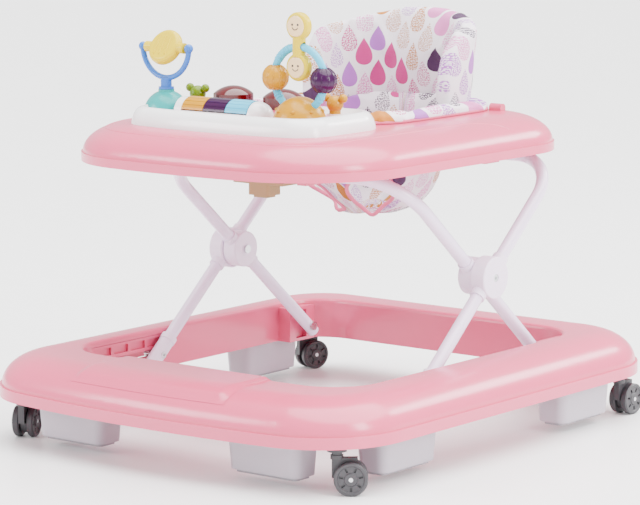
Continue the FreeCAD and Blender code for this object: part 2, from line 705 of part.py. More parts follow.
def make_latch_block():
    """Cream slider on the middle of the front bar: it stays level and holds the release button in front."""
    front = FRONT_BAR_Y - LATCH_REACH
    rear = FRONT_BAR_Y + LATCH_WALL
    under = BAR_Z - LATCH_WALL
    saddle = box_between((-LATCH_SADDLE_HALF, FRONT_BAR_Y - LATCH_WALL, under),
                         (LATCH_SADDLE_HALF, rear, BAR_Z + LATCH_WALL))
    flange = box_between((-LATCH_FLANGE_HALF, front, under), (LATCH_FLANGE_HALF, rear, under + 3.5))
    middle_y = front + LATCH_DEPTH / 2
    body = rounded_box(2 * LATCH_HALF, LATCH_DEPTH, under + 2.0 - LATCH_BOTTOM,
                       (0, middle_y, LATCH_BOTTOM), 4.0)
    bore = cylinder(TUBE_R + RUNNING, (-90, FRONT_BAR_Y, BAR_Z), (90, FRONT_BAR_Y, BAR_Z))
    well = rounded_box(24.0, 18.0, 13.0, (0, middle_y, LATCH_BOTTOM - 1.0), 3.3)
    return saddle.fuse([flange, body]).removeSplitter().cut(bore).cut(well)


def make_latch_button():
    """Release button in the latch block's underside; it is pushed up."""
    middle_y = FRONT_BAR_Y - LATCH_REACH + LATCH_DEPTH / 2
    return rounded_box(23.4, 17.4, 11.0, (0, middle_y, LATCH_BOTTOM - LATCH_TRAVEL), 3.0)


def make_toy_panel():
    """White dish with a broad round rim that carries the toys."""
    stations = ((0.0, TRAY_TOP - 10.0), (0.5, TRAY_TOP + 1.0), (4.0, TOY_RIM_TOP - 8.0),
                (9.0, TOY_RIM_TOP - 2.0), (15.0, TOY_RIM_TOP))
    outer = Part.makeLoft([toy_outline(inset, z) for inset, z in stations], True, False)
    bowl = prism(toy_outline(24.0, TOY_FLOOR), 30.0)
    slope = Part.makeLoft([toy_outline(25.0, TOY_FLOOR - 0.5), toy_outline(16.0, TOY_RIM_TOP + 1.0)],
                          True, True)
    under = []
    for inset, z in stations[:3]:
        under.append(toy_outline(inset + TOY_SKIN, z - TOY_SKIN))
    hollow = Part.makeLoft(under, True,
                           False).common(box_between((-300, -300, 300), (300, 300, TOY_FLOOR - TOY_SKIN)))
    tray_body = domed(tray_outline, 0.0, TRAY_BOTTOM - 5, TRAY_LIP_TOP, 2.0, TRAY_DOME_WIDTH, TRAY_TOP)
    panel = outer.cut(bowl).cut(slope).cut(hollow).cut(tray_body)
    for x in (GREEN_X, ORANGE_X):
        low = (x, BUTTON_Y, TOY_FLOOR)
        panel = panel.cut(cylinder(BUTTON_HEAD_R + 2.0, low, (x, BUTTON_Y, TOY_FLOOR + 40.0)))
    return panel


# ------------------------------------------------------------------ toys


def cap(radius, height, centre):
    """Spherical cap standing on centre; the ball's poles lie level, below the cap."""
    ball_r = (radius * radius + height * height) / (2.0 * height)
    x, y, z = centre
    ball = Part.makeSphere(ball_r, Vector(x, y, z + height - ball_r), Vector(1, 0, 0))
    return ball.common(box_between((x - ball_r, y - ball_r, z), (x + ball_r, y + ball_r, z + height + 1)))


def make_teal_dome():
    """Round foot of the spinner toy, with a well for the yoke's post."""
    dome = cap(28.0, 26.0, (TEAL_X, TOY_ROW_Y, TOY_FLOOR))
    well = cylinder(TEAL_POST_R + RUNNING, (TEAL_X, TOY_ROW_Y, TOY_FLOOR + 8),
                    (TEAL_X, TOY_ROW_Y, DOME_TOP + 5))
    crown = cylinder(10.0, (TEAL_X, TOY_ROW_Y, DOME_TOP - 3.5), (TEAL_X, TOY_ROW_Y, DOME_TOP + 1.0))
    return dome.fuse(crown).cut(well)


def make_yoke():
    """Post and U-shaped fork that hold the spinner."""
    post = cylinder(TEAL_POST_R, (TEAL_X, TOY_ROW_Y, TOY_FLOOR + 10), (TEAL_X, TOY_ROW_Y, DOME_TOP + 3))
    neck = cylinder(7.0, (TEAL_X, TOY_ROW_Y, DOME_TOP + 1.3), (TEAL_X, TOY_ROW_Y, SPIN_Z - YOKE_R))
    flange = cylinder(9.6, (TEAL_X, TOY_ROW_Y, DOME_TOP + 1.3), (TEAL_X, TOY_ROW_Y, DOME_TOP + 4.0))
    centre = Vector(TEAL_X, TOY_ROW_Y, SPIN_Z)
    low = centre + Vector(0, 0, -YOKE_R)
    arc = Part.Arc(centre + Vector(-YOKE_R, 0, 0), low, centre + Vector(YOKE_R, 0, 0)).toShape()
    section = Part.Wire(Part.makeCircle(YOKE_BAR_R, centre + Vector(-YOKE_R, 0, 0), Vector(0, 0, 1)))
    fork = Part.Wire([arc]).makePipeShell([section], True, False)
    parts = [flange, neck, fork]
    for way in (-1, 1):
        parts.append(Part.makeSphere(YOKE_BALL_R, centre + Vector(way * YOKE_R, 0, 0)))
    yoke = post.fuse(parts)
    reach = YOKE_R + 4.0
    hole = cylinder(SPIN_AXLE_R, (TEAL_X - reach, TOY_ROW_Y, SPIN_Z), (TEAL_X + reach, TOY_ROW_Y, SPIN_Z))
    return yoke.cut(hole)


def make_spinner():
    """Yellow paddle: a thick round-edged disc on a waisted roller, tilted about its axle."""
    disc = cylinder(SPINNER_R, (0, -SPINNER_HALF, 0), (0, SPINNER_HALF, 0))
    rim = [e for e in disc.Edges if e.Closed and e.BoundBox.YLength < 0.01]
    disc = disc.makeFillet(5.5, rim)
    roller = lathe([(2.0, -ROLLER_HALF), (ROLLER_R, -ROLLER_HALF), (ROLLER_R, -ROLLER_HALF + 4),
                    (ROLLER_R - 1.4, 0.0),
                    (ROLLER_R, ROLLER_HALF - 4), (ROLLER_R, ROLLER_HALF), (2.0, ROLLER_HALF)], (0, 0, 0),
                    (1, 0, 0))
    bore = cylinder(SPIN_AXLE_R + RUNNING, (-ROLLER_HALF - 1, 0, 0), (ROLLER_HALF + 1, 0, 0))
    paddle = disc.fuse(roller).cut(bore)
    for index in range(3):
        x = -9.0 + 9.0 * index
        rib = cylinder(1.1, (x, -SPINNER_HALF, -12), (x, -SPINNER_HALF, 12))
        paddle = paddle.fuse(rib)
    paddle.rotate(Vector(0, 0, 0), Vector(1, 0, 0), SPINNER_TILT)
    paddle.translate(Vector(TEAL_X, TOY_ROW_Y, SPIN_Z))
    return paddle


def make_spinner_axle():
    reach = YOKE_R + 3.0
    return cylinder(SPIN_AXLE_R, (TEAL_X - reach, TOY_ROW_Y, SPIN_Z), (TEAL_X + reach, TOY_ROW_Y, SPIN_Z))


def piano_sector(radius_low, radius_high, x0, x1, start, end):
    """Part of a round bar's skin between two radii and two angles seen from +X, 0 at the rear."""
    centre = Vector(x0, TOY_ROW_Y, TOY_FLOOR)

    def at(radius, angle):
        turn = math.radians(angle)
        return centre + Vector(0, radius * math.cos(turn), radius * math.sin(turn))

    middle = (start + end) / 2
    wire = Part.Wire([
        Part.Arc(at(radius_high, start), at(radius_high, middle), at(radius_high, end)).toShape(),
        Part.makeLine(at(radius_high, end), at(radius_low, end)),
        Part.Arc(at(radius_low, end), at(radius_low, middle), at(radius_low, start)).toShape(),
        Part.makeLine(at(radius_low, start), at(radius_high, start)),
    ])
    return Part.Face(wire).extrude(Vector(x1 - x0, 0, 0))


def make_piano_housing():
    """White half-round housing with a ball-shaped left end and a well for the keys."""
    end_x = PIANO_RIGHT - PIANO_R
    bar = cylinder(PIANO_R, (PIANO_LEFT, TOY_ROW_Y, TOY_FLOOR), (end_x, TOY_ROW_Y, TOY_FLOOR))
    end = Part.makeSphere(PIANO_R, Vector(end_x, TOY_ROW_Y, TOY_FLOOR), Vector(-1, 0, 0.3))
    below = box_between((-300, -300, TOY_FLOOR - 60), (300, 300, TOY_FLOOR))
    body = bar.fuse(end).cut(below)
    well_left = key_span(0)[0] - KEY_GAP
    well_right = key_span(KEY_COUNT - 1)[1] + KEY_GAP
    well = piano_sector(PIANO_R - PIANO_WELL_DEPTH, PIANO_R + 5.0, well_left, well_right,
                        KEY_ANGLES[0] - KEY_SIDE_ANGLE, KEY_ANGLES[1] + KEY_SIDE_ANGLE)
    return body.cut(well)


def key_span(index):
    left = PIANO_LEFT + KEY_START + index * (KEY_LENGTH + KEY_GAP)
    return left, left + KEY_LENGTH


def make_key(index):
    """Curved key that presses in towards the housing's middle, with grooves along it."""
    left, right = key_span(index)
    skin = PIANO_R + KEY_RISE
    key = piano_sector(skin - KEY_THICK, skin, left, right, KEY_ANGLES[0], KEY_ANGLES[1])
    pitch = (KEY_ANGLES[1] - KEY_ANGLES[0]) / (KEY_GROOVES + 1)
    for step in range(KEY_GROOVES):
        angle = KEY_ANGLES[0] + pitch * (step + 1)
        groove = piano_sector(skin - 0.4, skin + 1.0, left - 1, right + 1, angle - 1.2, angle + 1.2)
        key = key.cut(groove)
    return key


def make_ring_base():
    """Orange foot dome of the ring toy, with a row of bumps and two sloping sockets."""
    dome = cap(RING_BASE_R, RING_BASE_HEIGHT, (RING_X, TOY_ROW_Y, TOY_FLOOR))
    bumps = []
    for index in range(BUMP_COUNT):
        turn = math.radians(360.0 / BUMP_COUNT * (index + 0.5))
        across, deep = BUMP_RING_R * math.cos(turn), BUMP_RING_R * math.sin(turn)
        spot = Vector(RING_X + across, TOY_ROW_Y + deep, BUMP_Z)
        bumps.append(Part.makeSphere(BUMP_R, spot, Vector(-math.cos(turn), -math.sin(turn), -0.3)))
    return dome.fuse(bumps).cut(ring_bar(RING_BAR_R))


def ring_bar(bar_radius):
    """Arch of the ring toy: most of a circle in the XZ plane, both ends sunk in the foot dome."""
    centre = Vector(RING_X, TOY_ROW_Y, RING_CENTRE_Z)

    def at(angle):
        turn = math.radians(angle)
        return centre + Vector(RING_R * math.cos(turn), 0, RING_R * math.sin(turn))

    start = -90.0 + RING_OPEN
    end = 270.0 - RING_OPEN
    arc = Part.Arc(at(start), at(90.0), at(end)).toShape()
    tangent = arc.tangentAt(arc.FirstParameter)
    section = Part.Wire(Part.makeCircle(bar_radius, at(start), tangent))
    return Part.Wire([arc]).makePipeShell([section], True, False)


def make_ball(side):
    """Ball threaded on the ring, with a straight bore wide enough for the curved bar."""
    middle = (RING_X + side * (RING_R - BALL_SHIFT), TOY_ROW_Y)
    ball = Part.makeSphere(BALL_R, Vector(middle[0], middle[1], RING_CENTRE_Z))
    bore = cylinder(BALL_BORE, (*middle, RING_CENTRE_Z - BALL_R - 1), (*middle, RING_CENTRE_Z + BALL_R + 1))
    return ball.cut(bore)


def make_figure():
    """Yellow figure-of-eight paddle that flips about the ring's top."""
    lobes = []
    for way in (1, -1):
        z = FIGURE_Z + way * LOBE_REACH
        disc = cylinder(LOBE_R, (RING_X, TOY_ROW_Y - LOBE_HALF, z), (RING_X, TOY_ROW_Y + LOBE_HALF, z))
        rim = [e for e in disc.Edges if e.BoundBox.YLength < 0.01 and e.Closed]
        lobes.append(disc.makeFillet(4.5, rim))
    neck_half = LOBE_REACH - 8.0
    neck = cylinder(FIGURE_NECK_R, (RING_X, TOY_ROW_Y, FIGURE_Z - neck_half),
                    (RING_X, TOY_ROW_Y, FIGURE_Z + neck_half))
    figure = lobes[0].fuse([lobes[1], neck])
    for way in (1, -1):
        z = FIGURE_Z + way * LOBE_REACH
        face_y = TOY_ROW_Y - LOBE_HALF
        figure = figure.cut(cylinder(LOBE_R - 4.0, (RING_X, face_y - 3, z), (RING_X, face_y + 2.0, z)))
    return figure.cut(cylinder(FIGURE_BORE, (RING_X - 20, TOY_ROW_Y, FIGURE_Z),
                               (RING_X + 20, TOY_ROW_Y, FIGURE_Z)))


def make_figure_faces():
    """Two button-like inlays in the front of the paddle's lobes."""
    faces = []
    for way in (1, -1):
        z = FIGURE_Z + way * LOBE_REACH
        back = TOY_ROW_Y - LOBE_HALF + 1.95
        disc = cylinder(LOBE_R - 4.2, (RING_X, back - 3.2, z), (RING_X, back, z))
        front = [e for e in disc.Edges if e.Closed and abs(e.BoundBox.YMin - (back - 3.2)) < 0.01]
        faces.append(disc.makeFillet(1.2, front))
    return Part.makeCompound(faces)


def make_lens(x):
    """Red see-through lamp dome with a flat-sided foot."""
    radius = 25.0
    dome = cap(radius, 10.0, (x, BACK_ROW_Y, TOY_FLOOR + 20.0))
    drum = cylinder(radius, (x, BACK_ROW_Y, TOY_FLOOR + 6.0), (x, BACK_ROW_Y, TOY_FLOOR + 20.0))
    hollow = cylinder(radius - 2.5, (x, BACK_ROW_Y, TOY_FLOOR + 6.0), (x, BACK_ROW_Y, TOY_FLOOR + 18.0))
    return dome.fuse(drum).removeSplitter().cut(hollow)


def make_lamp_bases():
    """Pink plinth under both lamp domes, with a small bulb seat in each."""
    pads = [cylinder(26.5, (x, BACK_ROW_Y, TOY_FLOOR), (x, BACK_ROW_Y, TOY_FLOOR + 6.0)) for x in RED_X]
    bulbs = []
    for x in RED_X:
        bulbs.append(cylinder(3.0, (x, BACK_ROW_Y, TOY_FLOOR + 6.0), (x, BACK_ROW_Y, TOY_FLOOR + 14.0)))
    low = (RED_X[0], BACK_ROW_Y - 20.0, TOY_FLOOR)
    high = (RED_X[1], BACK_ROW_Y + 20.0, TOY_FLOOR + 5.0)
    return box_between(low, high).fuse(pads + bulbs).removeSplitter()


def make_eared_button(x):
    """Round-headed press button with two ball ears."""
    neck = cylinder(BUTTON_STEM_R, (x, BUTTON_Y, TOY_FLOOR + BUTTON_TRAVEL + 1.0),
                    (x, BUTTON_Y, TOY_FLOOR + 12.0))
    head = Part.makeSphere(BUTTON_HEAD_R, Vector(x, BUTTON_Y, TOY_FLOOR + 16.8), Vector(0, 1, 0))
    ears = []
    for way in (-1, 1):
        ears.append(Part.makeSphere(5.4, Vector(x + way * 12.5, BUTTON_Y, TOY_FLOOR + 24.0), Vector(0, 1, 0)))
    return head.fuse([neck] + ears)


def make_button_seats():
    """Collars that the two eared buttons slide in."""
    seats = []
    for x in (GREEN_X, ORANGE_X):
        low = (x, BUTTON_Y, TOY_FLOOR)
        floor = cylinder(10.0, low, (x, BUTTON_Y, TOY_FLOOR + 0.8))
        collar = tube_ring(10.0, BUTTON_STEM_R + RUNNING, low, (x, BUTTON_Y, TOY_FLOOR + 5.0))
        seats.append(collar.fuse(floor))
    return Part.makeCompound(seats)


# ------------------------------------------------------------------ soft parts


def seat_section(z, grow):
    """Oval of the hanging seat at one height: wide at the rim, narrow at the crotch."""
    depth = (TRAY_TOP - z) / (TRAY_TOP - SEAT_BOTTOM)
    pinch = math.sqrt(max(0.0, 1.0 - 0.86 * depth ** 2.2))
    half_x = (SEAT_HOLE_HALF_WIDTH - 7.0) * pinch + grow
    half_y = (SEAT_HOLE_REAR - SEAT_HOLE_FRONT - 16.0) / 2 * pinch + grow
    middle = SEAT_MID_Y + 22.0 * depth
    ellipse = Part.Ellipse(Vector(0, 0, 0), max(half_x, half_y), min(half_x, half_y))
    wire = Part.Wire(ellipse.toShape())
    if half_y > half_x:
        wire.rotate(Vector(0, 0, 0), Vector(0, 0, 1), 90)
    wire.translate(Vector(0, middle, z))
    return wire


def make_seat_sling():
    """Hanging fabric seat with two leg holes, as a thin bowl."""
    heights = [TRAY_TOP - 1.0, 372.0, 340.0, 306.0, 278.0, SEAT_BOTTOM]
    outer = Part.makeLoft([seat_section(z, 0.0) for z in heights], True, False)
    inner_heights = [TRAY_TOP + 4.0, 372.0, 340.0, 306.0, 278.0, SEAT_BOTTOM + SEAT_THICK]
    inner = Part.makeLoft([seat_section(min(z, TRAY_TOP), -SEAT_THICK).translated(
        Vector(0, 0, max(0.0, z - TRAY_TOP))) for z in inner_heights], True, False)
    bowl = outer.cut(inner)
    for way in (1, -1):
        start = Vector(way * 38.0, 60.0, 296.0)
        run = Vector(way * 0.42, -0.84, -0.30)
        leg = Part.makeCylinder(34.0, 150.0, start, run)
        bowl = bowl.cut(leg)
    return bowl


def make_backrest():
    """Padded back that wraps round the rear of the seat hole, with wings that come forward."""
    radius = 92.0

    def plan(half, rear, corner, height):
        wire = Part.Wire([
            Part.makeLine(Vector(half, WING_FRONT, height), Vector(half, rear - corner, height)),
            arc_edge(Vector(half - corner, rear - corner, height), corner, 0.0, 90.0),
            Part.makeLine(Vector(half - corner, rear, height), Vector(corner - half, rear, height)),
            arc_edge(Vector(corner - half, rear - corner, height), corner, 90.0, 180.0),
            Part.makeLine(Vector(-half, rear - corner, height), Vector(-half, WING_FRONT, height)),
            Part.makeLine(Vector(-half, WING_FRONT, height), Vector(half, WING_FRONT, height)),
        ])
        return wire

    lean = 14.0
    outer = Part.makeLoft([plan(BACK_HALF - 4, BACK_Y - lean, radius, BACK_BOTTOM),
                           plan(BACK_HALF, BACK_Y, radius, BACK_RISE)], True, True)
    inner = Part.makeLoft([plan(BACK_HALF - 4 - BACK_THICK, BACK_Y - lean - BACK_THICK,
                                radius - BACK_THICK, BACK_BOTTOM - 1),
                           plan(BACK_HALF - BACK_THICK, BACK_Y - BACK_THICK, radius - BACK_THICK,
                                BACK_RISE + 1)], True, True)
    inner = inner.fuse(inner.translated(Vector(0, -6.0, 0)))
    side = Part.Wire([
        Part.makeLine(Vector(-200, WING_FRONT - 10, BACK_BOTTOM - 5),
                      Vector(-200, BACK_Y + 10, BACK_BOTTOM - 5)),
        Part.makeLine(Vector(-200, BACK_Y + 10, BACK_BOTTOM - 5), Vector(-200, BACK_Y + 10, BACK_RISE)),
        Part.makeLine(Vector(-200, BACK_Y + 10, BACK_RISE), Vector(-200, BACK_Y - 40, BACK_RISE)),
        Part.Arc(Vector(-200, BACK_Y - 40, BACK_RISE), Vector(-200, WING_FRONT + 30, BACK_RISE - 28.0),
                 Vector(-200, WING_FRONT, BACK_RISE - 88.0)).toShape(),
        Part.makeLine(Vector(-200, WING_FRONT, BACK_RISE - 88.0),
                      Vector(-200, WING_FRONT - 10, BACK_BOTTOM - 5)),
    ])
    keep = Part.Face(side).extrude(Vector(400, 0, 0))
    low = BACK_BOTTOM - 10
    shoulder = BACK_RISE - 34.0
    front = Part.Wire([
        Part.makeLine(Vector(-BACK_HALF - 5, 0, low), Vector(BACK_HALF + 5, 0, low)),
        Part.makeLine(Vector(BACK_HALF + 5, 0, low), Vector(BACK_HALF + 5, 0, shoulder)),
        Part.Arc(Vector(BACK_HALF + 5, 0, shoulder), Vector(0, 0, BACK_RISE),
                 Vector(-BACK_HALF - 5, 0, shoulder)).toShape(),
        Part.makeLine(Vector(-BACK_HALF - 5, 0, shoulder), Vector(-BACK_HALF - 5, 0, low)),
    ])
    crown = Part.Face(front).extrude(Vector(0, 400, 0))
    return outer.cut(inner).common(keep).common(crown)


def make_seat_hooks():
    """Small hooks under the tray, beside the seat hole, that the seat's loops clip over."""
    hooks = []
    top = TRAY_TOP - WALL
    x = SEAT_HOLE_HALF_WIDTH + 12.0
    for y in HOOK_YS:
        stem = box_between((x - 2, y - 6, top - 12.0), (x + 2, y + 6, top))
        lip = box_between((x - 2, y - 6, top - 14.0), (x + 8, y + 6, top - 11.0))
        hooks.append(stem.fuse(lip))
    return both_sides(Part.makeCompound(hooks))


# ------------------------------------------------------------------ one STEP per node
def all_nodes():
    panel = make_toy_panel()
    nodes = {
        "base_ring": make_base_ring(),
        "track_plates": both_sides(make_track_plate()),
        "pivot_blocks": both_sides(make_pivot_block()),
        "pivot_pins": both_sides(make_pivot_pin()),
        "caster_sockets": Part.makeCompound([make_caster_socket(x, y) for x, y, _ in CASTERS.values()]),
        "inner_tube": make_inner_tube(),
        "outer_tube": make_outer_tube(),
        "inner_joint_halves": both_sides(make_inner_joint()),
        "outer_joint_halves": both_sides(make_outer_joint()),
        "joint_screws": both_sides(make_joint_rivet()),
        "slide_feet": both_sides(make_slide_foot()),
        "slide_pins": both_sides(make_slide_pin()),
        "tray_shell": make_tray_shell(),
        "rear_pegs": both_sides(make_rear_peg()),
        "rear_clamps": both_sides(make_rear_clamp()),
        "front_guides": both_sides(make_front_guide()),
        "latch_block": make_latch_block(),
        "latch_button": make_latch_button(),
        "toy_panel": panel,
        "teal_dome": make_teal_dome().cut(panel),
        "yoke": make_yoke(),
        "spinner": make_spinner(),
        "spinner_axle": make_spinner_axle(),
        "piano_housing": make_piano_housing(),
        "ring_base": make_ring_base(),
        "ring_arch": ring_bar(RING_BAR_R),
        "figure_paddle": make_figure(),
        "figure_faces": make_figure_faces(),
        "lamp_base": make_lamp_bases().cut(panel),
        "button_seats": make_button_seats().cut(panel),
        "seat_sling": make_seat_sling(),
        "seat_hooks": make_seat_hooks(),
        "backrest": make_backrest(),
    }
    for index, name in enumerate(("orange_key", "purple_key", "blue_key")):
        nodes[name] = make_key(index)
    nodes["lamp_lenses"] = Part.makeCompound([make_lens(x).cut(panel) for x in RED_X])
    for name, x in (("green_button", GREEN_X), ("orange_button", ORANGE_X)):
        nodes[name] = make_eared_button(x)
    for colour, side in BALL_SIDES.items():
        nodes[colour + "_ball"] = make_ball(side)
    for name, (x, y, way) in STOPPERS.items():
        nodes["stopper_" + name] = make_stopper(x, y, way)
    nodes["stopper_pads"] = Part.makeCompound([make_stopper_pad(*spec) for spec in STOPPERS.values()])
    for name, spec in CASTERS.items():
        nodes["caster_body_" + name] = make_caster_body(*spec)
        nodes["wheels_" + name] = make_wheels(*spec)
        nodes["axle_" + name] = make_axle(*spec)
    return nodes


os.makedirs("parts", exist_ok=True)
for node, shape in all_nodes().items():
    shape.exportStep("parts/" + node + ".step")
    print(node, "solids", len(shape.Solids), "volume", round(shape.Volume), "valid", shape.isValid())
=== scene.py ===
"""Looks of the folding baby walker: materials, fabric, trim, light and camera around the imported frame."""

import json
import math
import bmesh
import bpy
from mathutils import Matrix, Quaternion, Vector


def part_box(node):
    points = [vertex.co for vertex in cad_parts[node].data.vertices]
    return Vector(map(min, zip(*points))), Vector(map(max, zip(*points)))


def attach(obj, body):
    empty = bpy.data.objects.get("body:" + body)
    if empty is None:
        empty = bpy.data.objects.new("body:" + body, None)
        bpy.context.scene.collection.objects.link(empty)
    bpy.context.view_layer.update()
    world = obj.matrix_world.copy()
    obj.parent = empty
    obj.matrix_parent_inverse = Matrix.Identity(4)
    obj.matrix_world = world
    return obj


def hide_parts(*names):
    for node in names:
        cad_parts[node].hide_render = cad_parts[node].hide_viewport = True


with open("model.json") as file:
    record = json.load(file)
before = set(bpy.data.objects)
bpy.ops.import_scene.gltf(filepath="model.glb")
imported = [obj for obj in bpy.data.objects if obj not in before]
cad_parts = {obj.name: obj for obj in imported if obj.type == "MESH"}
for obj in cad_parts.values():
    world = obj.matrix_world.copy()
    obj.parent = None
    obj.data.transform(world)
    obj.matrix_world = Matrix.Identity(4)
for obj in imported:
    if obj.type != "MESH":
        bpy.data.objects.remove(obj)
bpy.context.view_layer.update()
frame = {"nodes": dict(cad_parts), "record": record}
MM = 0.001


# ------------------------------------------------------------------ node helpers
class Nodes:
    """Small builder for one material's node tree."""

    def __init__(self, name):
        self.material = bpy.data.materials.new(name)
        self.material.use_nodes = True
        self.tree = self.material.node_tree
        self.shader = self.tree.nodes["Principled BSDF"]
        self.place = self.add("ShaderNodeTexCoord").outputs["Object"]

    def add(self, kind, **fields):
        node = self.tree.nodes.new(kind)
        for name, value in fields.items():
            setattr(node, name, value)
        return node

    def link(self, source, target):
        self.tree.links.new(source, target)

    def put(self, value, socket):
        """Feed a socket from another socket, or set it to a plain value."""
        if isinstance(value, bpy.types.NodeSocket):
            self.link(value, socket)
        else:
            socket.default_value = value

    def math(self, operation, a, b=0.0, c=0.0):
        """One math node on sockets or plain numbers."""
        node = self.add("ShaderNodeMath", operation=operation)
        for value, socket in zip((a, b, c), node.inputs):
            self.put(value, socket)
        return node.outputs[0]

    def noise(self, scale, detail=2.0, place=None):
        node = self.add("ShaderNodeTexNoise")
        self.link(place or self.place, node.inputs["Vector"])
        node.inputs["Scale"].default_value = scale
        node.inputs["Detail"].default_value = detail
        return node.outputs["Fac"]

    def spread(self, value, low, high):
        """Map 0..1 to low..high."""
        return self.math("MULTIPLY_ADD", value, high - low, low)

    def mix(self, factor, a, b):
        """Blend two colours."""
        node = self.add("ShaderNodeMix", data_type="RGBA")
        self.put(factor, node.inputs["Factor"])
        self.put(a, node.inputs["A"])
        self.put(b, node.inputs["B"])
        return node.outputs["Result"]

    def mix_value(self, factor, a, b):
        """Blend two numbers."""
        node = self.add("ShaderNodeMix", data_type="FLOAT")
        for value, socket in zip((factor, a, b), (node.inputs[0], node.inputs[2], node.inputs[3])):
            self.put(value, socket)
        return node.outputs[0]

    def bump(self, height, distance, strength=1.0):
        node = self.add("ShaderNodeBump")
        self.link(height, node.inputs["Height"])
        node.inputs["Distance"].default_value = distance
        node.inputs["Strength"].default_value = strength
        self.link(node.outputs["Normal"], self.shader.inputs["Normal"])

    def set(self, **sockets):
        """Feed the shader's sockets; an underscore stands for a space in a socket's name."""
        for name, value in sockets.items():
            self.put(value, self.shader.inputs[name.replace("_", " ")])


def shaded(colour, share):
    """Opaque colour, darkened evenly."""
    return tuple(c * share for c in colour[:3]) + (1.0,)


def plastic(name, colour, roughness, grain, coat=0.0, subsurface=0.0, shine=0.5):
    """Moulded plastic: slightly uneven colour and gloss, and a fine moulded grain."""
    m = Nodes(name)
    m.set(Base_Color=m.mix(m.noise(14.0, 3.0), colour, shaded(colour, 0.93)))
    m.set(Roughness=m.spread(m.noise(60.0, 4.0), roughness * 0.85, roughness * 1.2))
    m.set(Coat_Weight=coat, Coat_Roughness=0.06, Subsurface_Weight=subsurface)
    m.shader.inputs["Specular IOR Level"].default_value = shine
    m.shader.inputs["Subsurface Radius"].default_value = (0.01, 0.006, 0.005)
    m.bump(m.noise(1400.0, 2.0), grain)
    return m.material


def paint(name, colour):
    """Powder coat on a steel tube: soft sheen with fine orange peel."""
    m = Nodes(name)
    m.set(Base_Color=m.mix(m.noise(25.0, 2.0), colour, shaded(colour, 0.95)))
    m.set(Roughness=m.spread(m.noise(90.0, 3.0), 0.24, 0.36), Coat_Weight=0.35, Coat_Roughness=0.15)
    m.bump(m.noise(700.0, 2.0), 0.00006)
    return m.material


def metal(name):
    """Plain turned steel."""
    m = Nodes(name)
    m.set(Base_Color=(0.62, 0.62, 0.64, 1.0), Metallic=1.0)
    m.set(Roughness=m.spread(m.noise(300.0, 4.0), 0.18, 0.34))
    m.bump(m.noise(2000.0, 2.0), 0.00002)
    return m.material


def clear_plastic(name, colour, weight):
    """Tinted see-through plastic with faint flow lines."""
    m = Nodes(name)
    m.set(Base_Color=m.mix(m.noise(30.0), colour, shaded(colour, 0.8)))
    m.set(Roughness=m.spread(m.noise(80.0, 3.0), 0.04, 0.1), Transmission_Weight=weight, IOR=1.49)
    m.set(Coat_Weight=0.1, Coat_Roughness=0.03)
    m.bump(m.noise(90.0, 2.0), 0.00015)
    return m.material


def wheel_rubber(name, colour):
    """Matt rubbery plastic of wheels and pads."""
    m = Nodes(name)
    m.set(Base_Color=m.mix(m.noise(40.0, 3.0), colour, shaded(colour, 0.75)))
    m.set(Roughness=m.spread(m.noise(120.0, 3.0), 0.38, 0.55))
    m.bump(m.noise(900.0, 3.0), 0.0001)
    return m.material


# ------------------------------------------------------------------ printed cloth
CELL_WIDTH = 0.039
CELL_HEIGHT = 0.046
DROP_COLOURS = (
    (0.045, 0.006, 0.05),  # dark purple
    (0.38, 0.10, 0.48),  # lilac
    (0.50, 0.02, 0.19),  # magenta
    (0.46, 0.15, 0.0),  # orange
    (0.68, 0.18, 0.46),  # pale pink
)
DROP_WIDTH = 0.80
DOT_SCALE = 460.0
DOT_RADIUS = 0.36
DOTTED_FROM = 0.74
SPOTTED_FROM = 0.36
CLOTH_BASE = (0.86, 0.79, 0.85, 1.0)


def drops(m, place, offset):
    """Mask, colour pick and style pick of one grid of teardrops with their tips up."""
    split = m.add("ShaderNodeSeparateXYZ")
    m.link(place, split.inputs[0])
    across = m.math("DIVIDE", m.math("ADD", split.outputs[0], offset[0]), CELL_WIDTH)
    up = m.math("DIVIDE", m.math("ADD", split.outputs[1], offset[1]), CELL_HEIGHT)
    row = m.math("FLOOR", up)
    column = m.math("FLOOR", across)
    key = m.add("ShaderNodeCombineXYZ")
    m.link(column, key.inputs[0])
    m.link(row, key.inputs[1])
    key.inputs[2].default_value = offset[0] * 100.0
    chance = m.add("ShaderNodeTexWhiteNoise", noise_dimensions="3D")
    m.link(key.outputs[0], chance.inputs["Vector"])
    parts = m.add("ShaderNodeSeparateColor")
    m.link(chance.outputs["Color"], parts.inputs[0])
    inside = m.math("SUBTRACT", m.math("FRACT", across), m.spread(parts.outputs[0], 0.46, 0.54))
    height = m.math("SUBTRACT", m.math("FRACT", up), m.spread(parts.outputs[1], 0.02, 0.14))
    height = m.math("DIVIDE", height, m.spread(parts.outputs[0], 0.66, 0.86))
    safe = m.math("MINIMUM", m.math("MAXIMUM", height, 0.0), 1.0)
    foot = m.math("POWER", safe, 0.5)
    tip = m.math("POWER", m.math("SUBTRACT", 1.0, safe), 1.15)
    width = m.math("MULTIPLY", m.math("MULTIPLY", foot, tip), DROP_WIDTH)
    mask = m.math("LESS_THAN", m.math("ABSOLUTE", inside), width)
    return mask, chance.outputs["Value"], parts.outputs[2]


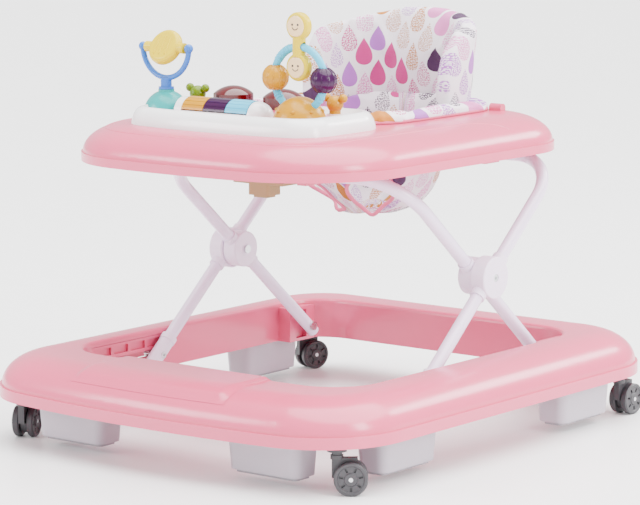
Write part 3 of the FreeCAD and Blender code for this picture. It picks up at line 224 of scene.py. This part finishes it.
def printed_cloth(name, uv_layer):
    """Off-white woven cloth printed with plain, spotted and dotted drops."""
    m = Nodes(name)
    place = m.add("ShaderNodeUVMap", uv_map=uv_layer).outputs["UV"]
    spots = m.add("ShaderNodeTexVoronoi", voronoi_dimensions="2D")
    m.link(place, spots.inputs["Vector"])
    spots.inputs["Scale"].default_value = DOT_SCALE
    spots.inputs["Randomness"].default_value = 0.55
    dot = m.math("LESS_THAN", spots.outputs["Distance"], DOT_RADIUS)
    colour = m.mix(m.noise(9.0, 2.0), CLOTH_BASE, shaded(CLOTH_BASE, 0.95))
    for offset in ((0.0, 0.0), (CELL_WIDTH / 2, CELL_HEIGHT / 2)):
        mask, pick, style = drops(m, place, offset)
        ramp = m.add("ShaderNodeValToRGB")
        stops = ramp.color_ramp.elements
        ramp.color_ramp.interpolation = "CONSTANT"
        for index, shade in enumerate(DROP_COLOURS):
            spot = index / len(DROP_COLOURS)
            stop = stops[0] if index == 0 else stops.new(spot)
            stop.position = spot
            stop.color = (*shade, 1.0)
        stops.remove(stops[-1])
        m.link(pick, ramp.inputs["Fac"])
        dotted = m.math("GREATER_THAN", style, DOTTED_FROM)
        not_plain = m.math("GREATER_THAN", style, SPOTTED_FROM)
        spotted = m.math("MULTIPLY", not_plain, m.math("SUBTRACT", 1.0, dotted))
        filled = m.math("SUBTRACT", 1.0, m.math("MULTIPLY", spotted, dot))
        ink = m.math("MULTIPLY", mask, m.mix_value(dotted, filled, dot))
        colour = m.mix(ink, colour, ramp.outputs["Color"])
    weave = m.add("ShaderNodeTexWave", wave_type="BANDS", bands_direction="DIAGONAL")
    m.link(place, weave.inputs["Vector"])
    weave.inputs["Scale"].default_value = 900.0
    folds = m.noise(22.0, 2.0)
    m.set(Base_Color=colour, Roughness=m.spread(m.noise(200.0), 0.75, 0.9), Sheen_Weight=0.05)
    m.bump(m.math("MULTIPLY_ADD", folds, 14.0, weave.outputs["Fac"]), 0.00018)
    return m.material


def plain_cloth(name, colour):
    """Woven tape in one colour."""
    m = Nodes(name)
    weave = m.noise(1800.0, 3.0)
    m.set(Base_Color=m.mix(m.noise(60.0), colour, shaded(colour, 0.88)))
    m.set(Roughness=m.spread(weave, 0.7, 0.9), Sheen_Weight=0.1)
    m.bump(weave, 0.0002)
    return m.material


FINE_GRAIN = 0.00002
MATT_GRAIN = 0.00004


def toy_plastic(name, colour, roughness=0.24):
    """Bright toy plastic with little white glare."""
    return plastic(name, (*colour, 1.0), roughness, FINE_GRAIN, coat=0.04, shine=0.25)


PINK = (0.66, 0.085, 0.18, 1.0)
MATERIALS = {
    "pink_plastic": plastic("pink_plastic", PINK, 0.24, FINE_GRAIN, coat=0.1, subsurface=0.05),
    "white_plastic": plastic("white_plastic", (0.86, 0.85, 0.86, 1.0), 0.22, FINE_GRAIN, coat=0.3),
    "tube_paint": paint("tube_paint", (0.79, 0.66, 0.85, 1.0)),
    "joint_plastic": plastic("joint_plastic", (0.80, 0.68, 0.84, 1.0), 0.42, MATT_GRAIN),
    "stopper_plastic": plastic("stopper_plastic", (0.44, 0.39, 0.45, 1.0), 0.4, MATT_GRAIN),
    "pad_rubber": wheel_rubber("pad_rubber", (0.35, 0.33, 0.36, 1.0)),
    "caster_grey": wheel_rubber("caster_grey", (0.045, 0.042, 0.048, 1.0)),
    "steel": metal("steel"),
    "yellow_plastic": toy_plastic("yellow_plastic", (0.64, 0.47, 0.0), 0.25),
    "amber_plastic": toy_plastic("amber_plastic", (0.48, 0.22, 0.0), 0.25),
    "sky_plastic": toy_plastic("sky_plastic", (0.06, 0.44, 0.64)),
    "fork_plastic": toy_plastic("fork_plastic", (0.03, 0.14, 0.50)),
    "teal_plastic": toy_plastic("teal_plastic", (0.01, 0.31, 0.30)),
    "purple_plastic": toy_plastic("purple_plastic", (0.03, 0.001, 0.033), 0.2),
    "lamp_red": clear_plastic("lamp_red", (0.09, 0.0, 0.002, 1.0), 0.1),
    "lime_plastic": toy_plastic("lime_plastic", (0.12, 0.19, 0.0), 0.25),
    "cream_plastic": plastic("cream_plastic", (0.32, 0.19, 0.07, 1.0), 0.45, MATT_GRAIN),
    "face_cream": plastic("face_cream", (0.80, 0.56, 0.28, 1.0), 0.3, FINE_GRAIN, coat=0.2),
    "seat_fabric": printed_cloth("seat_fabric", "print"),
}
PINK_CLOTH = plain_cloth("pink_binding", (0.68, 0.12, 0.24, 1.0))
INK = plastic("face_ink", (0.03, 0.015, 0.012, 1.0), 0.3, FINE_GRAIN, coat=0.3)

for part in frame["record"]["subparts"]:
    node = frame["nodes"][part["node"]]
    node.data.materials.clear()
    node.data.materials.append(MATERIALS[part["material_slot"]])


# ------------------------------------------------------------------ mesh helpers
def new_mesh(name, vertices, faces, material, smooth=True):
    """Object built from plain vertices and faces."""
    mesh = bpy.data.meshes.new(name)
    mesh.from_pydata([tuple(v) for v in vertices], [], faces)
    mesh.validate()
    mesh.polygons.foreach_set("use_smooth", [smooth] * len(mesh.polygons))
    mesh.materials.append(material)
    piece = bpy.data.objects.new(name, mesh)
    bpy.context.scene.collection.objects.link(piece)
    return piece


def apply_all(piece):
    """Bake a piece's modifiers into its mesh."""
    graph = bpy.context.evaluated_depsgraph_get()
    mesh = bpy.data.meshes.new_from_object(piece.evaluated_get(graph))
    piece.modifiers.clear()
    piece.data = mesh


def tube(name, points, radius, material, closed=True, sides=10):
    """Round cord-like trim swept along a list of points."""
    points = [Vector(p) for p in points]
    count = len(points)
    vertices = []
    for index, point in enumerate(points):
        before = points[index - 1] if closed or index else points[0]
        after = points[(index + 1) % count] if closed or index + 1 < count else points[-1]
        along = (after - before).normalized()
        side = along.cross(Vector((0, 0, 1)))
        side = side.normalized() if side.length > 0.05 else Vector((1, 0, 0))
        rise = side.cross(along).normalized()
        for step in range(sides):
            turn = 2 * math.pi * step / sides
            vertices.append(point + (side * math.cos(turn) + rise * math.sin(turn)) * radius)
    faces = []
    for index in range(count if closed else count - 1):
        nxt = (index + 1) % count
        for step in range(sides):
            far = (step + 1) % sides
            faces.append((index * sides + step, index * sides + far, nxt * sides + far, nxt * sides + step))
    if not closed:
        faces.append(tuple(range(sides)))
        faces.append(tuple(reversed(range((count - 1) * sides, count * sides))))
    return new_mesh(name, vertices, faces, material)


def keep_print(piece, unwrap):
    """Write the cloth's print coordinates, in metres along the cloth, into a UV layer."""
    layer = piece.data.uv_layers.get("print") or piece.data.uv_layers.new(name="print")
    for loop in piece.data.loops:
        layer.data[loop.index].uv = unwrap(piece.data.vertices[loop.vertex_index].co)


def run_cloth(piece, frames, **settings):
    """Simulate the piece in place with no gravity and keep the last frame's mesh."""
    cloth = piece.modifiers.new("cloth", "CLOTH")
    for name, value in settings.items():
        setattr(cloth.settings, name, value)
    cloth.settings.effector_weights.gravity = 0.0
    cloth.point_cache.frame_start = 1
    cloth.point_cache.frame_end = frames
    for number in range(1, frames + 1):
        bpy.context.scene.frame_set(number)
    apply_all(piece)
    bpy.context.scene.frame_set(1)


# ------------------------------------------------------------------ hanging seat
tray_low, tray_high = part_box("tray_shell")
TRAY_TOP = 0.396
RING_STEPS = 128
SEAT_RINGS = (
    # half width, half depth, middle's y, height, squareness
    (0.1360, 0.1250, 0.079, TRAY_TOP + 0.0022, 6.0),
    (0.1345, 0.1240, 0.079, TRAY_TOP + 0.0070, 5.5),
    (0.1270, 0.1190, 0.080, TRAY_TOP + 0.0110, 4.5),
    (0.1190, 0.1120, 0.082, TRAY_TOP + 0.0100, 3.6),
    (0.1125, 0.1055, 0.083, TRAY_TOP + 0.0030, 3.1),
    (0.1095, 0.1020, 0.083, TRAY_TOP - 0.0100, 2.9),
    (0.1070, 0.0990, 0.084, 0.3700, 2.6),
    (0.1050, 0.0965, 0.087, 0.3500, 2.4),
    (0.1010, 0.0920, 0.091, 0.3300, 2.2),
    (0.0950, 0.0860, 0.095, 0.3120, 2.1),
    (0.0860, 0.0780, 0.099, 0.2960, 2.0),
    (0.0730, 0.0670, 0.102, 0.2820, 2.0),
    (0.0560, 0.0520, 0.104, 0.2720, 2.0),
    (0.0350, 0.0330, 0.106, 0.2660, 2.0),
    (0.0120, 0.0120, 0.106, 0.2640, 2.0),
)
LEG_START = Vector((0.038, 0.060, 0.296))
LEG_WAY = Vector((0.42, -0.84, -0.30)).normalized()
LEG_RADIUS = 0.035
LEG_LOOPS_BELOW = 0.37
HELD_RIM_DEPTH = 0.012
CLOTH_THICKNESS = 2.6 * MM
PRINT_RADIUS = 0.100


def gathers(turn):
    """Uneven folds round the rim, from -1 to 1."""
    return 0.45 * math.sin(9 * turn + 0.7) + 0.35 * math.sin(17 * turn + 2.1) + 0.2 * math.sin(31 * turn)


def seat_point(ring, turn):
    """Point on one ring of the bowl, with the rim's folds added above the tray."""
    half_x, half_y, middle, height, power = ring
    if height > TRAY_TOP + 0.0025:
        height += 0.0028 * gathers(turn)
        half_x += 0.0016 * gathers(turn + 0.4)
    c, s = math.cos(turn), math.sin(turn)
    x = half_x * math.copysign(abs(c) ** (2.0 / power), c)
    y = middle + half_y * math.copysign(abs(s) ** (2.0 / power), s)
    return Vector((x, y, height))


def blend_rings(rings, between):
    """Add evenly spaced rings between the given ones."""
    out = []
    for first, second in zip(rings, rings[1:]):
        for step in range(between):
            share = step / between
            out.append(tuple(a + (b - a) * share for a, b in zip(first, second)))
    out.append(rings[-1])
    return out


def in_leg_hole(point):
    """Whether a point of the bowl lies in one of the two leg holes."""
    mirror = Vector((abs(point.x), point.y, point.z))
    offset = mirror - LEG_START
    along = offset.dot(LEG_WAY)
    return along > -0.005 and (offset - LEG_WAY * along).length < LEG_RADIUS


def make_seat():
    """Open bowl of cloth with two leg holes."""
    rings = blend_rings(SEAT_RINGS, 4)
    turns = [2 * math.pi * step / RING_STEPS for step in range(RING_STEPS)]
    vertices = [seat_point(ring, turn) for ring in rings for turn in turns]
    faces = []
    for row in range(len(rings) - 1):
        for step in range(RING_STEPS):
            far = (step + 1) % RING_STEPS
            a, b = row * RING_STEPS, (row + 1) * RING_STEPS
            faces.append((a + step, b + step, b + far, a + far))
    faces.append(tuple(reversed(range((len(rings) - 1) * RING_STEPS, len(rings) * RING_STEPS))))
    piece = new_mesh("seat_cloth", vertices, faces, MATERIALS["seat_fabric"])
    work = bmesh.new()
    work.from_mesh(piece.data)
    gone = [f for f in work.faces if len(f.verts) == 4 and in_leg_hole(f.calc_center_median())]
    bmesh.ops.delete(work, geom=gone, context="FACES")
    work.to_mesh(piece.data)
    work.free()
    return piece


def edge_loops(piece):
    """Ordered points of each open edge of a mesh."""
    work = bmesh.new()
    work.from_mesh(piece.data)
    edges = {e for e in work.edges if e.is_boundary}
    loops = []
    while edges:
        edge = edges.pop()
        start, vertex = edge.verts
        chain = [start.co.copy(), vertex.co.copy()]
        while vertex != start:
            step = next((e for e in vertex.link_edges if e in edges), None)
            if step is None:
                break
            edges.discard(step)
            vertex = step.other_vert(vertex)
            chain.append(vertex.co.copy())
        loops.append(chain[:-1])
    work.free()
    return loops


def smoothed(points, passes):
    """Round a closed loop off by averaging neighbours."""
    points = [Vector(p) for p in points]
    for _ in range(passes):
        count = len(points)
        points = [(points[i - 1] + points[i] * 2 + points[(i + 1) % count]) / 4 for i in range(count)]
    return points


seat = make_seat()
pinned = seat.vertex_groups.new(name="held")
for vertex in seat.data.vertices:
    if vertex.co.z > TRAY_TOP - HELD_RIM_DEPTH:
        pinned.add([vertex.index], 1.0, "REPLACE")
run_cloth(seat, 18, mass=0.2, quality=6, tension_stiffness=12.0, compression_stiffness=8.0,
          bending_stiffness=0.4, vertex_group_mass="held", shrink_min=-0.015,
          use_pressure=True, uniform_pressure_force=0.6)
leg_loops = []
for loop in sorted(edge_loops(seat), key=len):
    mean_height = sum(p.z for p in loop) / len(loop)
    if len(loop) < RING_STEPS and mean_height < LEG_LOOPS_BELOW:
        leg_loops.append(smoothed(loop, 5))


def unwrap_seat(point):
    """Round the bowl for across, down the wall for up."""
    turn = math.atan2(point.x, -(point.y - 0.090))
    return (turn * PRINT_RADIUS, point.z * 1.15)


keep_print(seat, unwrap_seat)
thick = seat.modifiers.new("thick", "SOLIDIFY")
thick.thickness = CLOTH_THICKNESS
thick.offset = -1.0
seat.modifiers.new("smooth", "SUBSURF").render_levels = 1
apply_all(seat)
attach(seat, "tray")
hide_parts("seat_sling")
for number, loop in enumerate(leg_loops):
    ring = tube("leg_binding_%d" % number, loop[::2], 2.6 * MM, PINK_CLOTH)
    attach(ring, "tray")
rim = [seat_point(SEAT_RINGS[0], 2 * math.pi * step / 160) for step in range(160)]
rim_binding = tube("rim_binding", rim, 2.2 * MM, PINK_CLOTH)
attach(rim_binding, "tray")


# ------------------------------------------------------------------ padded back
back_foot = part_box("backrest")[0].z
BACK_HELD = 0.006
BACK_VOXEL = 4.5 * MM
BACK_CURL_Y = 0.085
BACK_CURL_RADIUS = 0.125


def make_back():
    """Even mesh of the padded back, ready to swell."""
    source = frame["nodes"]["backrest"]
    piece = source.copy()
    piece.data = source.data.copy()
    piece.name = "back_cushion"
    piece.parent = None
    for key in list(piece.keys()):
        del piece[key]
    bpy.context.scene.collection.objects.link(piece)
    remesh = piece.modifiers.new("even", "REMESH")
    remesh.mode = "VOXEL"
    remesh.voxel_size = BACK_VOXEL
    apply_all(piece)
    return piece


def unwrap_back(point):
    """Round the curved back for across, up the back for up."""
    turn = math.atan2(point.x, point.y - BACK_CURL_Y)
    return (turn * BACK_CURL_RADIUS, point.z)


back = make_back()
held = back.vertex_groups.new(name="held")
for vertex in back.data.vertices:
    if vertex.co.z < back_foot + BACK_HELD:
        held.add([vertex.index], 1.0, "REPLACE")
run_cloth(back, 16, mass=0.3, quality=6, tension_stiffness=15.0, compression_stiffness=10.0,
          bending_stiffness=0.5, vertex_group_mass="held",
          use_pressure=True, uniform_pressure_force=3.0)
soften = back.modifiers.new("soften", "SMOOTH")
soften.factor = 0.5
soften.iterations = 4
apply_all(back)
back.data.materials.clear()
back.data.materials.append(MATERIALS["seat_fabric"])
back.data.polygons.foreach_set("use_smooth", [True] * len(back.data.polygons))
keep_print(back, unwrap_back)
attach(back, "tray")
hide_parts("backrest")


# ------------------------------------------------------------------ raised bead round the tray
TRAY_BOW = 0.024
TRAY_FRONT_CORNER = 0.138
TRAY_DOME_RISE = 0.035
TRAY_DOME_WIDTH = 0.064
TRAY_DOME_START = 0.002
BEAD_RADIUS = 1.5 * MM
BEAD_FRONT_INSET = 0.031
BEAD_SIDE_INSET = 0.043
BEAD_END_INSET = 0.002
BEAD_WIDEN_START_Y = -0.235
BEAD_WIDEN_LENGTH = 0.075
BEAD_TURN_Y = 0.040
BEAD_END_Y = 0.116


def tray_height(inset):
    """Height of the tray's skin at a distance in from its outline."""
    share = min(1.0, max(0.0, (inset - TRAY_DOME_START) / TRAY_DOME_WIDTH))
    return TRAY_TOP - TRAY_DOME_RISE * (1.0 - math.sin(math.acos(1.0 - share)))


def tray_half_outline(inset_at):
    """Points along half the tray's outline, from the middle of the front to the side's rear end."""
    half = tray_high.x
    corner = half - TRAY_FRONT_CORNER
    bow_radius = (half * half + TRAY_BOW * TRAY_BOW) / (2 * TRAY_BOW)
    bow_y = tray_low.y + bow_radius
    reach = bow_radius - TRAY_FRONT_CORNER
    corner_y = bow_y - math.sqrt(reach * reach - corner * corner)
    turn = math.atan2(corner_y - bow_y, corner)
    path = []
    for step in range(30):
        angle = -math.pi / 2 + (turn + math.pi / 2) * step / 30
        path.append((Vector((0, bow_y)), bow_radius, angle))
    for step in range(40):
        path.append((Vector((corner, corner_y)), TRAY_FRONT_CORNER, turn * (1 - step / 40)))
    points = []
    for centre, radius, angle in path:
        way = Vector((math.cos(angle), math.sin(angle)))
        inset = inset_at(centre.y + radius * way.y)
        spot = centre + way * (radius - inset)
        points.append(Vector((spot.x, spot.y, tray_height(inset))))
    for step in range(60):
        y = corner_y + (BEAD_END_Y - corner_y) * step / 59
        inset = inset_at(y)
        points.append(Vector((half - inset, y, tray_height(inset))))
    return points


def bead_inset(y):
    """Close to the edge in front, further in along the sides, then down to the lip in a quarter turn."""
    if y > BEAD_TURN_Y:
        share = min(1.0, (y - BEAD_TURN_Y) / (BEAD_END_Y - BEAD_TURN_Y))
        drop = math.sqrt(max(0.0, 1.0 - share * share))
        return BEAD_END_INSET + (BEAD_SIDE_INSET - BEAD_END_INSET) * drop
    share = min(1.0, max(0.0, (y - BEAD_WIDEN_START_Y) / BEAD_WIDEN_LENGTH))
    return BEAD_FRONT_INSET + (BEAD_SIDE_INSET - BEAD_FRONT_INSET) * share * share * (3 - 2 * share)


left_half = tray_half_outline(bead_inset)
right_half = [Vector((-p.x, p.y, p.z)) for p in reversed(left_half)]
sink = Vector((0, 0, -0.6 * BEAD_RADIUS))
bead_path = [p + sink for p in right_half + left_half[1:]]
bead = tube("tray_bead", bead_path, BEAD_RADIUS, MATERIALS["pink_plastic"], closed=False, sides=12)
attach(bead, "tray")


# ------------------------------------------------------------------ pink floor of the toy dish
panel_low, panel_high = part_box("toy_panel")
DISH_INSET = 0.0255
DISH_FLOOR = 0.4083
DISH_SHEET_BOTTOM = 0.4081
DISH_CORNER = 0.022
DISH_BOW = 0.012


def make_dish_floor():
    """Thin sheet on the dish's floor: a rounded rectangle with a bowed front."""
    half = panel_high.x - DISH_INSET
    front = panel_low.y + DISH_INSET
    rear = panel_high.y - DISH_INSET
    side_front = front + DISH_BOW
    corners = ((half, rear, 0), (-half, rear, 90), (-half, side_front, 180), (half, side_front, 270))
    outline = []
    for x, y, start in corners:
        inward = DISH_CORNER if start >= 180 else -DISH_CORNER
        centre = Vector((x - math.copysign(DISH_CORNER, x), y + inward, 0))
        for step in range(9):
            turn = math.radians(start + 90 * step / 8)
            outline.append(centre + Vector((math.cos(turn), math.sin(turn), 0)) * DISH_CORNER)
        if start == 180:
            for step in range(1, 20):
                across = -1 + 2 * step / 20
                y_bowed = front + DISH_BOW * across * across
                outline.append(Vector((across * (half - DISH_CORNER), y_bowed, 0)))
    count = len(outline)
    vertices = [p + Vector((0, 0, z)) for z in (DISH_FLOOR, DISH_SHEET_BOTTOM) for p in outline]
    faces = [tuple(range(count))]
    faces += [(k, count + k, count + (k + 1) % count, (k + 1) % count) for k in range(count)]
    sheet = new_mesh("dish_floor", vertices, faces, MATERIALS["pink_plastic"], smooth=False)
    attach(sheet, "tray")


make_dish_floor()


# ------------------------------------------------------------------ swell of the base's front panel
base_low, base_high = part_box("base_ring")
BASE_TOP = 0.111
BASE_LIP_TOP = 0.072
BASE_DOME_WIDTH = 0.056
BASE_BOW = 0.029
SWELL_HALF = 0.121
SWELL_REAR = -0.2415
SWELL_START = 0.015
SWELL_EDGE = 0.013
SWELL_RAISE = 0.0040
SWELL_SINK = 0.0002
BASE_DOME_START = 0.002


def base_front_point(x, inset):
    """Point on the base's front skin at a distance in from its front outline."""
    bow_radius = (base_high.x ** 2 + BASE_BOW ** 2) / (2 * BASE_BOW)
    y = base_low.y + bow_radius - math.sqrt(bow_radius ** 2 - x * x) + inset
    share = min(1.0, max(0.0, (inset - BASE_DOME_START) / BASE_DOME_WIDTH))
    z = BASE_LIP_TOP + (BASE_TOP - BASE_LIP_TOP) * math.sqrt(1.0 - (1.0 - share) ** 2)
    return Vector((x, y, z))


def swell_point(across, along):
    """Point of the swell: across from -1 to 1 of its width, along from its lower edge to the hole."""
    x = across * SWELL_HALF
    depth = SWELL_REAR - base_front_point(x, 0.0).y
    inset = SWELL_START + (depth - SWELL_START) * along
    point = base_front_point(x, inset)
    slope = (base_front_point(x, inset + MM) - base_front_point(x, inset - MM)).normalized()
    out = Vector((0, -slope.z, slope.y))
    from_side = min(1.0, max(0.0, (abs(x) - SWELL_HALF + SWELL_EDGE) / SWELL_EDGE))
    from_front = min(1.0, max(0.0, (SWELL_START + SWELL_EDGE - inset) / SWELL_EDGE))
    reach = min(1.0, math.hypot(from_side, from_front))
    return point + out * (SWELL_RAISE * (1.0 - reach * reach * (3 - 2 * reach)) - SWELL_SINK)


def make_swell():
    """Skin that rises softly from the front rail, over the flat raised panel."""
    columns, rows = 90, 44
    vertices = []
    for j in range(rows + 1):
        vertices += [swell_point(2 * i / columns - 1, j / rows) for i in range(columns + 1)]
    faces = []
    for j in range(rows):
        for i in range(columns):
            a = j * (columns + 1) + i
            faces.append((a, a + 1, a + columns + 2, a + columns + 1))
    swell = new_mesh("front_panel_swell", vertices, faces, MATERIALS["pink_plastic"])
    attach(swell, "base")


make_swell()


# ------------------------------------------------------------------ ridges on the balls
BALL_RIDGES = 12
RIDGE_RADIUS = 0.7 * MM
RIDGE_LEAN = 66.0
RIDGE_SINK = 0.1 * MM
ARCH_CENTRE_Z = 0.459


def make_ball_ridges(ball, body):
    """Raised lines from pole to pole round a ball's bore."""
    low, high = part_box(ball)
    centre = (low + high) / 2
    radius = (high.y - low.y) / 2
    arch_x = sum(corner.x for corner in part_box("ring_arch")) / 2
    material = frame["nodes"][ball].data.materials[0]
    outward = Vector((centre.x - arch_x, 0, centre.z - ARCH_CENTRE_Z)).normalized()
    axis = Vector((-outward.z, 0, outward.x))
    for number in range(BALL_RIDGES):
        turn = 2 * math.pi * number / BALL_RIDGES
        side = outward * math.cos(turn) + Vector((0, 1, 0)) * math.sin(turn)
        arc = []
        for step in range(17):
            lean = math.radians(-RIDGE_LEAN + 2 * RIDGE_LEAN * step / 16)
            way = side * math.cos(lean) + axis * math.sin(lean)
            arc.append(centre + way * (radius - RIDGE_SINK))
        name = "%s_ridge_%d" % (ball, number)
        ridge = tube(name, arc, RIDGE_RADIUS, material, closed=False, sides=8)
        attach(ridge, body)


make_ball_ridges("orange_ball", "ball_orange")
make_ball_ridges("purple_ball", "ball_purple")


# ------------------------------------------------------------------ ribs on the arch
arch_low, arch_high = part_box("ring_arch")
ARCH_BAR = (arch_high.y - arch_low.y) / 2
ARCH_MIDDLE = Vector(((arch_low.x + arch_high.x) / 2, (arch_low.y + arch_high.y) / 2, 0))
ARCH_RADIUS = (arch_high.x - arch_low.x) / 2 - ARCH_BAR
ARCH_MIDDLE.z = arch_high.z - ARCH_BAR - ARCH_RADIUS


def make_ribs(name, angles):
    """Thin collars round the arch's bar."""
    vertices, faces = [], []
    sides = 20
    for angle in angles:
        turn = math.radians(angle)
        out = Vector((math.cos(turn), 0, math.sin(turn)))
        along = Vector((-math.sin(turn), 0, math.cos(turn)))
        middle = ARCH_MIDDLE + out * ARCH_RADIUS
        base = len(vertices)
        for shift, swell in ((-1.3, 0.98), (-0.8, 1.16), (0.8, 1.16), (1.3, 0.98)):
            for step in range(sides):
                spin = 2 * math.pi * step / sides
                ring = (out * math.cos(spin) + Vector((0, 1, 0)) * math.sin(spin)) * (ARCH_BAR * swell)
                vertices.append(middle + along * (shift * MM) + ring)
        for row in range(3):
            for step in range(sides):
                far = (step + 1) % sides
                a, b = base + row * sides, base + (row + 1) * sides
                faces.append((a + step, a + far, b + far, b + step))
    ribs = new_mesh(name, vertices, faces, MATERIALS["sky_plastic"])
    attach(ribs, "tray")


make_ribs("arch_ribs", [112.0 + 5.5 * k for k in range(7)])
make_ribs("arch_lower_ribs", [-38.0, -32.0, 212.0, 218.0])


# ------------------------------------------------------------------ toy faces
def disc(name, centre, radius, depth, material):
    """Small domed button facing -Y."""
    sides = 24
    vertices = []
    for scale, push in ((1.0, 0.0), (0.92, 0.6), (0.6, 0.95)):
        for step in range(sides):
            turn = 2 * math.pi * step / sides
            vertices.append(centre + Vector((radius * scale * math.cos(turn), -depth * push,
                                             radius * scale * math.sin(turn))))
    vertices.append(centre + Vector((0, -depth, 0)))
    faces = []
    for row in range(2):
        for step in range(sides):
            far = (step + 1) % sides
            a, b = row * sides, (row + 1) * sides
            faces.append((a + step, a + far, b + far, b + step))
    for step in range(sides):
        faces.append((2 * sides + step, 2 * sides + (step + 1) % sides, 3 * sides))
    return new_mesh(name, vertices, faces, material)


EYE_APART = 4.2 * MM
EYE_RAISE = 2.0 * MM
EYE_RADIUS = 1.5 * MM
EYE_DEPTH = 0.6 * MM
SMILE_RADIUS = 4.6 * MM
SMILE_THICKNESS = 0.55 * MM

face_low, face_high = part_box("figure_faces")
face_x = (face_low.x + face_high.x) / 2
face_radius = (face_high.x - face_low.x) / 2
for name, middle_z in (("upper", face_high.z - face_radius), ("lower", face_low.z + face_radius)):
    front = face_low.y
    for side in (-1, 1):
        place = Vector((face_x + side * EYE_APART, front + 0.1 * MM, middle_z + EYE_RAISE))
        eye_name = "eye_%s_%s" % (name, "left" if side > 0 else "right")
        eye = disc(eye_name, place, EYE_RADIUS, EYE_DEPTH, INK)
        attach(eye, "figure")
    smile = []
    for step in range(13):
        turn = math.radians(205.0 + 130.0 * step / 12)
        x = face_x + SMILE_RADIUS * math.cos(turn)
        smile.append((x, front, middle_z + SMILE_RADIUS * math.sin(turn) + 0.5 * MM))
    mouth = tube("smile_" + name, smile, SMILE_THICKNESS, INK, closed=False, sides=8)
    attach(mouth, "figure")


# ------------------------------------------------------------------ light, floor, camera
def area_light(name, place, aim, size, power, shine):
    data = bpy.data.lights.new(name, "AREA")
    data.shape = "RECTANGLE"
    data.size, data.size_y = size
    data.energy = power
    data.specular_factor = shine
    lamp = bpy.data.objects.new(name, data)
    bpy.context.scene.collection.objects.link(lamp)
    lamp.location = place
    lamp.rotation_mode = "QUATERNION"
    lamp.rotation_quaternion = (Vector(aim) - Vector(place)).to_track_quat("-Z", "Y")


area_light("key", (-1.8, -2.4, 1.5), (0, 0, 0.2), (1.4, 1.0), 70, 0.1)
area_light("side", (2.6, -0.3, 1.3), (0, 0, 0.25), (0.7, 1.3), 70, 0.7)
area_light("rear", (1.0, 2.3, 1.7), (0, 0, 0.3), (1.1, 0.5), 42, 1.0)
overhead = bpy.data.lights.new("overhead", "SUN")
overhead.energy = 10.5
overhead.angle = math.radians(75.0)
overhead_lamp = bpy.data.objects.new("overhead", overhead)
bpy.context.scene.collection.objects.link(overhead_lamp)
overhead_lamp.location = (0.0, 0.0, 3.0)
overhead_lamp.rotation_euler = (math.radians(-8.0), math.radians(10.0), 0.0)

world = bpy.data.worlds.new("studio")
world.use_nodes = True
world.node_tree.nodes["Background"].inputs["Color"].default_value = (1.0, 1.0, 1.0, 1.0)
world.node_tree.nodes["Background"].inputs["Strength"].default_value = 1.35
bpy.context.scene.world = world

floor_look = Nodes("floor")
PALE = (0.93, 0.93, 0.93, 1.0)
PALE_PATCH = (0.91, 0.91, 0.91, 1.0)
floor_look.set(Base_Color=floor_look.mix(floor_look.noise(3.0), PALE, PALE_PATCH))
floor_look.set(Roughness=floor_look.spread(floor_look.noise(8.0), 0.3, 0.36))
reach = 30.0
floor = new_mesh("floor", [(-reach, -reach, 0), (reach, -reach, 0), (reach, reach, 0), (-reach, reach, 0)],
                 [(0, 1, 2, 3)], floor_look.material, smooth=False)

AZIMUTH = math.radians(38.63)
ELEVATION = math.radians(8.69)
ROLL = math.radians(-0.3)
DISTANCE = 3.793
aim = Vector((0.0, 0.0135, 0.2218))
right = Vector((math.cos(AZIMUTH), math.sin(AZIMUTH), 0.0))
back_way = Vector((math.sin(AZIMUTH) * math.cos(ELEVATION), -math.cos(AZIMUTH) * math.cos(ELEVATION),
                   math.sin(ELEVATION)))
camera_data = bpy.data.cameras.new("camera")
camera_data.lens = 168.75
camera_data.sensor_width = 36.0
camera = bpy.data.objects.new("camera", camera_data)
bpy.context.scene.collection.objects.link(camera)
camera.location = aim - right * 0.0079 + back_way * DISTANCE
camera.rotation_mode = "QUATERNION"
look = (-back_way).to_track_quat("-Z", "Y")
camera.rotation_quaternion = look @ Quaternion((0, 0, 1), ROLL)
bpy.context.scene.camera = camera
